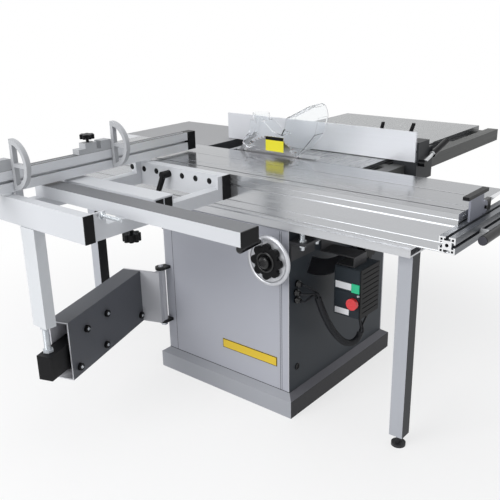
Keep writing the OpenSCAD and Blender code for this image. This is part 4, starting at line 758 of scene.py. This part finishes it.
# Cabinet: folded edges, a bare plate and a grommet in the front wall
def dress_cabinet():
    folds, fold_low, fold_high = (0.2555, -0.2605, -0.2675), 0.087, 0.684
    proud, half_line = 0.0004, 0.0008
    bm = bmesh.new()
    for y in folds:
        add_slab(bm, (cabinet_left - proud, y - half_line, fold_low),
                 (cabinet_left + proud, y + half_line, fold_high))
    show_solid("cabinet_fold_lines", bm, [seam_dark], "machine")

    rim, thick, rounding = 0.003, 0.0012, 0.0004
    plate_low, plate_high = Vector((cabinet_left, -0.246, 0.173)), Vector((cabinet_left, 0.010, 0.210))
    inset = Vector((0.0, rim, rim))
    bm = bmesh.new()
    add_slab(bm, plate_low - Vector((thick, 0, 0)), plate_high, rounding, 1)
    add_slab(bm, plate_low + inset - Vector((2 * thick, 0, 0)), plate_high - inset, rounding, 0)
    show_solid("cabinet_plate", bm, [yellow_plate, black_plastic], "machine")

    hole, grommet_h = Vector((-0.279, cabinet_low.y + skin, 0.172)), 0.003
    grommet_profile = [(0, 0.013), (0.8, 0.013), (1, 0.011), (1, 0.009), (0.4, 0.008)]
    bm = bmesh.new()
    add_turned(bm, hole, hole - Vector((0, grommet_h, 0)), grommet_profile)
    show_solid("front_grommet", bm, [black_plastic], "machine")


# Cross-cut frame: plugs in the inner rail and a lock bolt in the front tube
def dress_frame():
    rail_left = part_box("inner_rail")[0].x
    first, step, count, clamp_at, height = -0.011, 0.0647, 7, 3, 0.832
    holes = [(rail_left, first + i * step, height) for i in range(count) if i != clamp_at]
    grow("rail_plugs", heads, holes, {
        "Washer Radius": 0.0105, "Washer Height": 0.0012, "Head Radius": 0.0085, "Head Height": 0.0024,
        "Head Sides": 32, "Turn": faces_left,
    }, black_plastic, "slider")

    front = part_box("cross_tubes")[0].y
    bolt_x, bolt_z = -0.898, 0.845
    bolt_l, bolt_r, sunk = 0.08, 0.0052, 0.002
    points, paths = straight_paths([((bolt_x, front + sunk, bolt_z), (bolt_x, front - bolt_l, bolt_z))])
    grow("tube_bolt_thread", ribbed, points, {"Radius": bolt_r, "Rib": 0.0006, "Step": 0.0018},
         zinc, "slider", paths)
    grow("tube_bolt_nut", heads, [(bolt_x, front, bolt_z)], {
        "Washer Radius": 0.0115, "Washer Height": 0.0016, "Head Radius": 0.0105, "Head Height": 0.009,
        "Head Sides": 6, "Turn": faces_front,
    }, zinc, "slider")


# Hinge: a nut and its washer on the lower end of the arm's pin
def dress_hinge():
    pin_low = 0.211
    grow("hinge_nuts", heads, [(arm_pin.x, arm_pin.y, pin_low)], {
        "Washer Radius": 0.019, "Washer Height": 0.003, "Head Radius": 0.016, "Head Height": 0.012,
        "Head Sides": 6, "Turn": faces_down,
    }, zinc, "swing_arm")


# Swing arm: bright ends of its roller bolts
def dress_arm():
    along, across = Vector(arm_along), Vector(arm_across)
    head_face = -0.06
    bolt_rows = ((0.3673, (0.3, 0.43)), (0.2537, (0.06, 0.32, 0.49)))
    points = [
        arm_pin + reach * along + head_face * across + Vector((0, 0, z))
        for z, row in bolt_rows for reach in row
    ]
    grow("arm_bolt_ends", heads, points, {
        "Washer Radius": 0.0055, "Washer Height": 0.0012, "Head Radius": 0.0038, "Head Height": 0.004,
        "Head Sides": 24, "Turn": (0.0, math.pi / 2, math.atan2(across.y, across.x)),
    }, zinc, "swing_arm")


# Handwheel: a raised ring and a domed cap on its lock knob
def dress_wheel():
    low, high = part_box("wheel_knob")
    middle = (low + high) / 2
    boss_h, ring_h, cap_h = 0.01, 0.005, 0.004
    ring_profile = [(-0.2, 0.036), (0.5, 0.036), (1, 0.0335), (1, 0.03), (0.5, 0.028), (-0.2, 0.028)]
    cap_profile = [(-0.2, 0.0205), (0.4, 0.02), (0.8, 0.017), (1, 0.012)]
    boss_face = Vector((low.x, middle.y, middle.z))
    knob_face = boss_face + Vector((boss_h, 0, 0))
    bm = bmesh.new()
    add_turned(bm, knob_face, knob_face - Vector((ring_h, 0, 0)), ring_profile)
    add_turned(bm, boss_face, boss_face - Vector((cap_h, 0, 0)), cap_profile)
    show_solid("lock_knob_rings", bm, [polished_black], "wheel_lock")


# Threads on the post's rod and on the levelling bolts
def dress_threads():
    low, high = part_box("post")
    rod = (low + high) / 2
    rod_r, rod_low, rod_high = 0.01, 0.362, 0.436
    points, paths = straight_paths([((rod.x, rod.y, rod_low), (rod.x, rod.y, rod_high))])
    grow("post_thread", ribbed, points, {"Radius": rod_r, "Rib": 0.0009, "Step": 0.0025},
         zinc, "arm_slide", paths)
    bolt_r, bolt_low, bolt_high = 0.008, 0.665, 0.6955
    bolt_xs, bolt_y = (-0.305, -0.222), 0.338
    lines = [((x, y, bolt_low), (x, y, bolt_high)) for x in bolt_xs for y in (-bolt_y, bolt_y)]
    points, paths = straight_paths(lines)
    grow("levelling_threads", ribbed, points, {"Radius": bolt_r, "Rib": 0.0007, "Step": 0.002},
         zinc, "machine", paths)


# Blade: brazed tips on the teeth
def dress_blade():
    low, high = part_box("saw_blade")
    centre = (low + high) / 2
    teeth, lead_share, tip_r = 60, 0.06, 0.1487
    tip_size = (0.0036, 0.0022, 0.0032)
    angles = [math.tau * (i + lead_share) / teeth for i in range(teeth)]
    points = [centre + Vector((0.0, tip_r * math.cos(a), tip_r * math.sin(a))) for a in angles]
    grow("blade_tips", tips, points, {"Centre": centre, "Size": tip_size},
         carbide, "blade_set")


# Table insert: countersunk screws
def dress_insert():
    low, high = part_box("table_insert")
    edge_x, edge_y = 0.01, 0.012
    xs, ys = (low.x + edge_x, high.x - edge_x), (low.y + edge_y, high.y - edge_y)
    points = [(x, y, high.z) for x in xs for y in ys]
    grow("insert_screws", heads, points, {
        "Washer Radius": 0.0042, "Washer Height": 0.0004, "Head Radius": 0.0022, "Head Height": 0.0006,
        "Head Sides": 6, "Turn": faces_up,
    }, dark_steel, "machine")


# Guard: pale beads along the edges of its side walls as painted highlights, and a plain label on the left one
def wall_edges(mesh, wall):
    """Ends of the edges that bound a flat wall at one X place."""
    flat = 0.0001
    sides = {}
    for face in mesh.polygons:
        on_wall = all(abs(mesh.vertices[v].co.x - wall) < flat for v in face.vertices)
        for key in face.edge_keys:
            sides.setdefault(key, []).append(on_wall)
    return [key for key, found in sides.items() if found.count(True) == 1]


def right_wall(mesh):
    """X place of the outermost large flat area that faces right."""
    least_share, straight, digits = 0.2, 0.99, 4
    areas = {}
    for face in mesh.polygons:
        if face.normal.x > straight:
            place = round(face.center.x, digits)
            areas[place] = areas.get(place, 0.0) + face.area
    return max(place for place, area in areas.items() if area > least_share * max(areas.values()))


def dress_guard():
    hood = nodes["guard_hood"].data
    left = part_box("guard_hood")[0].x
    # Painted highlights: pale beads stand just proud of each side wall along its edges
    bead_r, proud = 0.0011, 0.0007
    for side, wall, outward in (("left", left, -proud), ("right", right_wall(hood), proud)):
        edges = wall_edges(hood, wall)
        numbers = {v: i for i, v in enumerate(sorted({v for edge in edges for v in edge}))}
        points = [hood.vertices[v].co + Vector((outward, 0, 0)) for v in numbers]
        paths = [(numbers[a], numbers[b]) for a, b in edges]
        grow("guard_edge_highlight_" + side, beads, points, {"Radius": bead_r}, edge_highlight_white, "guard", paths)

    thick, rounding = 0.0008, 0.0002
    label_from, label_to = -0.071, 0.012
    label_low, head_low, label_high = 0.877, 0.918, 0.931
    bm = bmesh.new()
    add_slab(bm, (left - thick, label_from, label_low), (left, label_to, head_low), rounding, 0)
    add_slab(bm, (left - thick, label_from, head_low), (left, label_to, label_high), rounding, 1)
    show_solid("guard_label", bm, [label_yellow, black_plastic], "guard")


# Switch box: two blank label plates and a screw
def dress_switch():
    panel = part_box("switch_box")[0].x
    panel_t, thick, rounding = 0.002, 0.0008, 0.0003
    labels = (
        (panel + panel_t, (-0.436, 0.455), (-0.372, 0.480)),
        (panel, (-0.430, 0.360), (-0.3725, 0.382)),
    )
    bm = bmesh.new()
    for face, low, high in labels:
        add_slab(bm, (face - thick, *low), (face, *high), rounding)
    show_solid("switch_labels", bm, [pale_plate], "machine")
    screw_y, screw_z = -0.4655, 0.441
    grow("switch_screw", heads, [(panel, screw_y, screw_z)], {
        "Washer Radius": 0.0045, "Washer Height": 0.0012, "Head Radius": 0.0036, "Head Height": 0.004,
        "Head Sides": 24, "Turn": faces_left,
    }, zinc, "machine")


# Cables: three leads from the cabinet wall, gathered in a sleeve, up into the switch box
sleeve_points = [
    (-0.226, -0.350, 0.432), (-0.222, -0.364, 0.392), (-0.211, -0.381, 0.345), (-0.193, -0.392, 0.307),
    (-0.169, -0.400, 0.274), (-0.144, -0.405, 0.249), (-0.118, -0.409, 0.233), (-0.094, -0.412, 0.225),
    (-0.070, -0.413, 0.224), (-0.052, -0.414, 0.231), (-0.042, -0.415, 0.246),
]
wall_glands = [(x, cabinet_low.y, z) for x, z in ((-0.281, 0.492), (-0.289, 0.462), (-0.286, 0.434))]
box_glands = [(-0.066, -0.420, 0.354), (-0.038, -0.398, 0.354), (-0.038, -0.440, 0.354)]
lead_d, lead_spread, lead_run, gland_l = 0.008, 0.006, 0.016, 0.02


def smooth_route(points, steps=6):
    """A curve through given points."""
    points = [Vector(p) for p in points]
    last = len(points) - 1
    made = []
    for i in range(last):
        a, b, c, d = points[max(i - 1, 0)], points[i], points[i + 1], points[min(i + 2, last)]
        for j in range(steps):
            t = j / steps
            square = (2 * a - 5 * b + 4 * c - d) * t**2
            cube = (3 * b - a - 3 * c + d) * t**3
            made.append(0.5 * (2 * b + (c - a) * t + square + cube))
    return made + [points[last]]


def beside(route, i, angle):
    """A point beside a route, turned about its direction."""
    ahead = (route[min(i + 1, len(route) - 1)] - route[max(i - 1, 0)]).normalized()
    side = ahead.cross(Vector(Y)).normalized()
    return route[i] + lead_spread * (math.cos(angle) * side + math.sin(angle) * ahead.cross(side))


def lead_tube(name, line):
    """A round cord along a line of points, on the machine's body."""
    curve = bpy.data.curves.new(name, "CURVE")
    curve.dimensions = "3D"
    curve.bevel_depth = lead_d / 2
    curve.bevel_resolution = 3
    curve.use_fill_caps = True
    spline = curve.splines.new("POLY")
    spline.points.add(len(line) - 1)
    for point, place in zip(spline.points, line):
        point.co = (*place, 1.0)
    curve.materials.append(rubber.mat)
    lead = bpy.data.objects.new(name, curve)
    scene.collection.objects.link(lead)
    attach(lead, "machine")
    return lead


def dress_cables():
    route = smooth_route(sleeve_points)
    edges = [(i, i + 1) for i in range(len(route) - 1)]
    sleeve = grow("cable_sleeve", ribbed, route, {"Radius": 0.0117, "Rib": 0.0007, "Step": 0.004},
                  rubber, "machine", edges)
    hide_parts("switch_conduit")

    into_wall, into_box = Vector((0, -gland_l, 0)), Vector((0, 0, -gland_l / 2))
    wall_profile = [(0, 0.0125), (0.45, 0.0125), (0.45, 0.009), (0.9, 0.009), (1, 0.007)]
    box_profile = [(0, 0.009), (0.8, 0.009), (1, 0.007)]
    gland_sides = 24
    bm = bmesh.new()
    for wall, under in zip(wall_glands, box_glands):
        add_turned(bm, wall, Vector(wall) + into_wall, wall_profile, gland_sides)
        add_turned(bm, under, Vector(under) + into_box, box_profile, gland_sides)
    glands = show_solid("cable_glands", bm, [polished_black], "machine")
    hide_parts("cable_leads")

    start_way = (route[1] - route[0]).normalized()
    end_way = (route[-1] - route[-2]).normalized()
    every, steps = 3, 3
    for number, (wall, under) in enumerate(zip(wall_glands, box_glands)):
        angle = math.tau * number / len(wall_glands)
        inside = [beside(route, i, angle) for i in range(0, len(route), every)]
        wall_end, box_end = Vector(wall) + into_wall, Vector(under) + into_box
        line = smooth_route([
            wall_end, wall_end - Vector((0, lead_run, 0)), inside[0] - lead_run * start_way, *inside,
            inside[-1] + lead_run * end_way, box_end - Vector((0, 0, lead_run)), box_end,
        ], steps)
        lead = lead_tube("switch_lead_%d" % (number + 1), line)


make_camera()
dress_cables()
dress_cad()
dress_cabinet()
dress_frame()
dress_hinge()
dress_arm()
dress_wheel()
dress_threads()
dress_blade()
dress_insert()
dress_guard()
dress_switch()
make_floor()
make_world()
make_lamps()
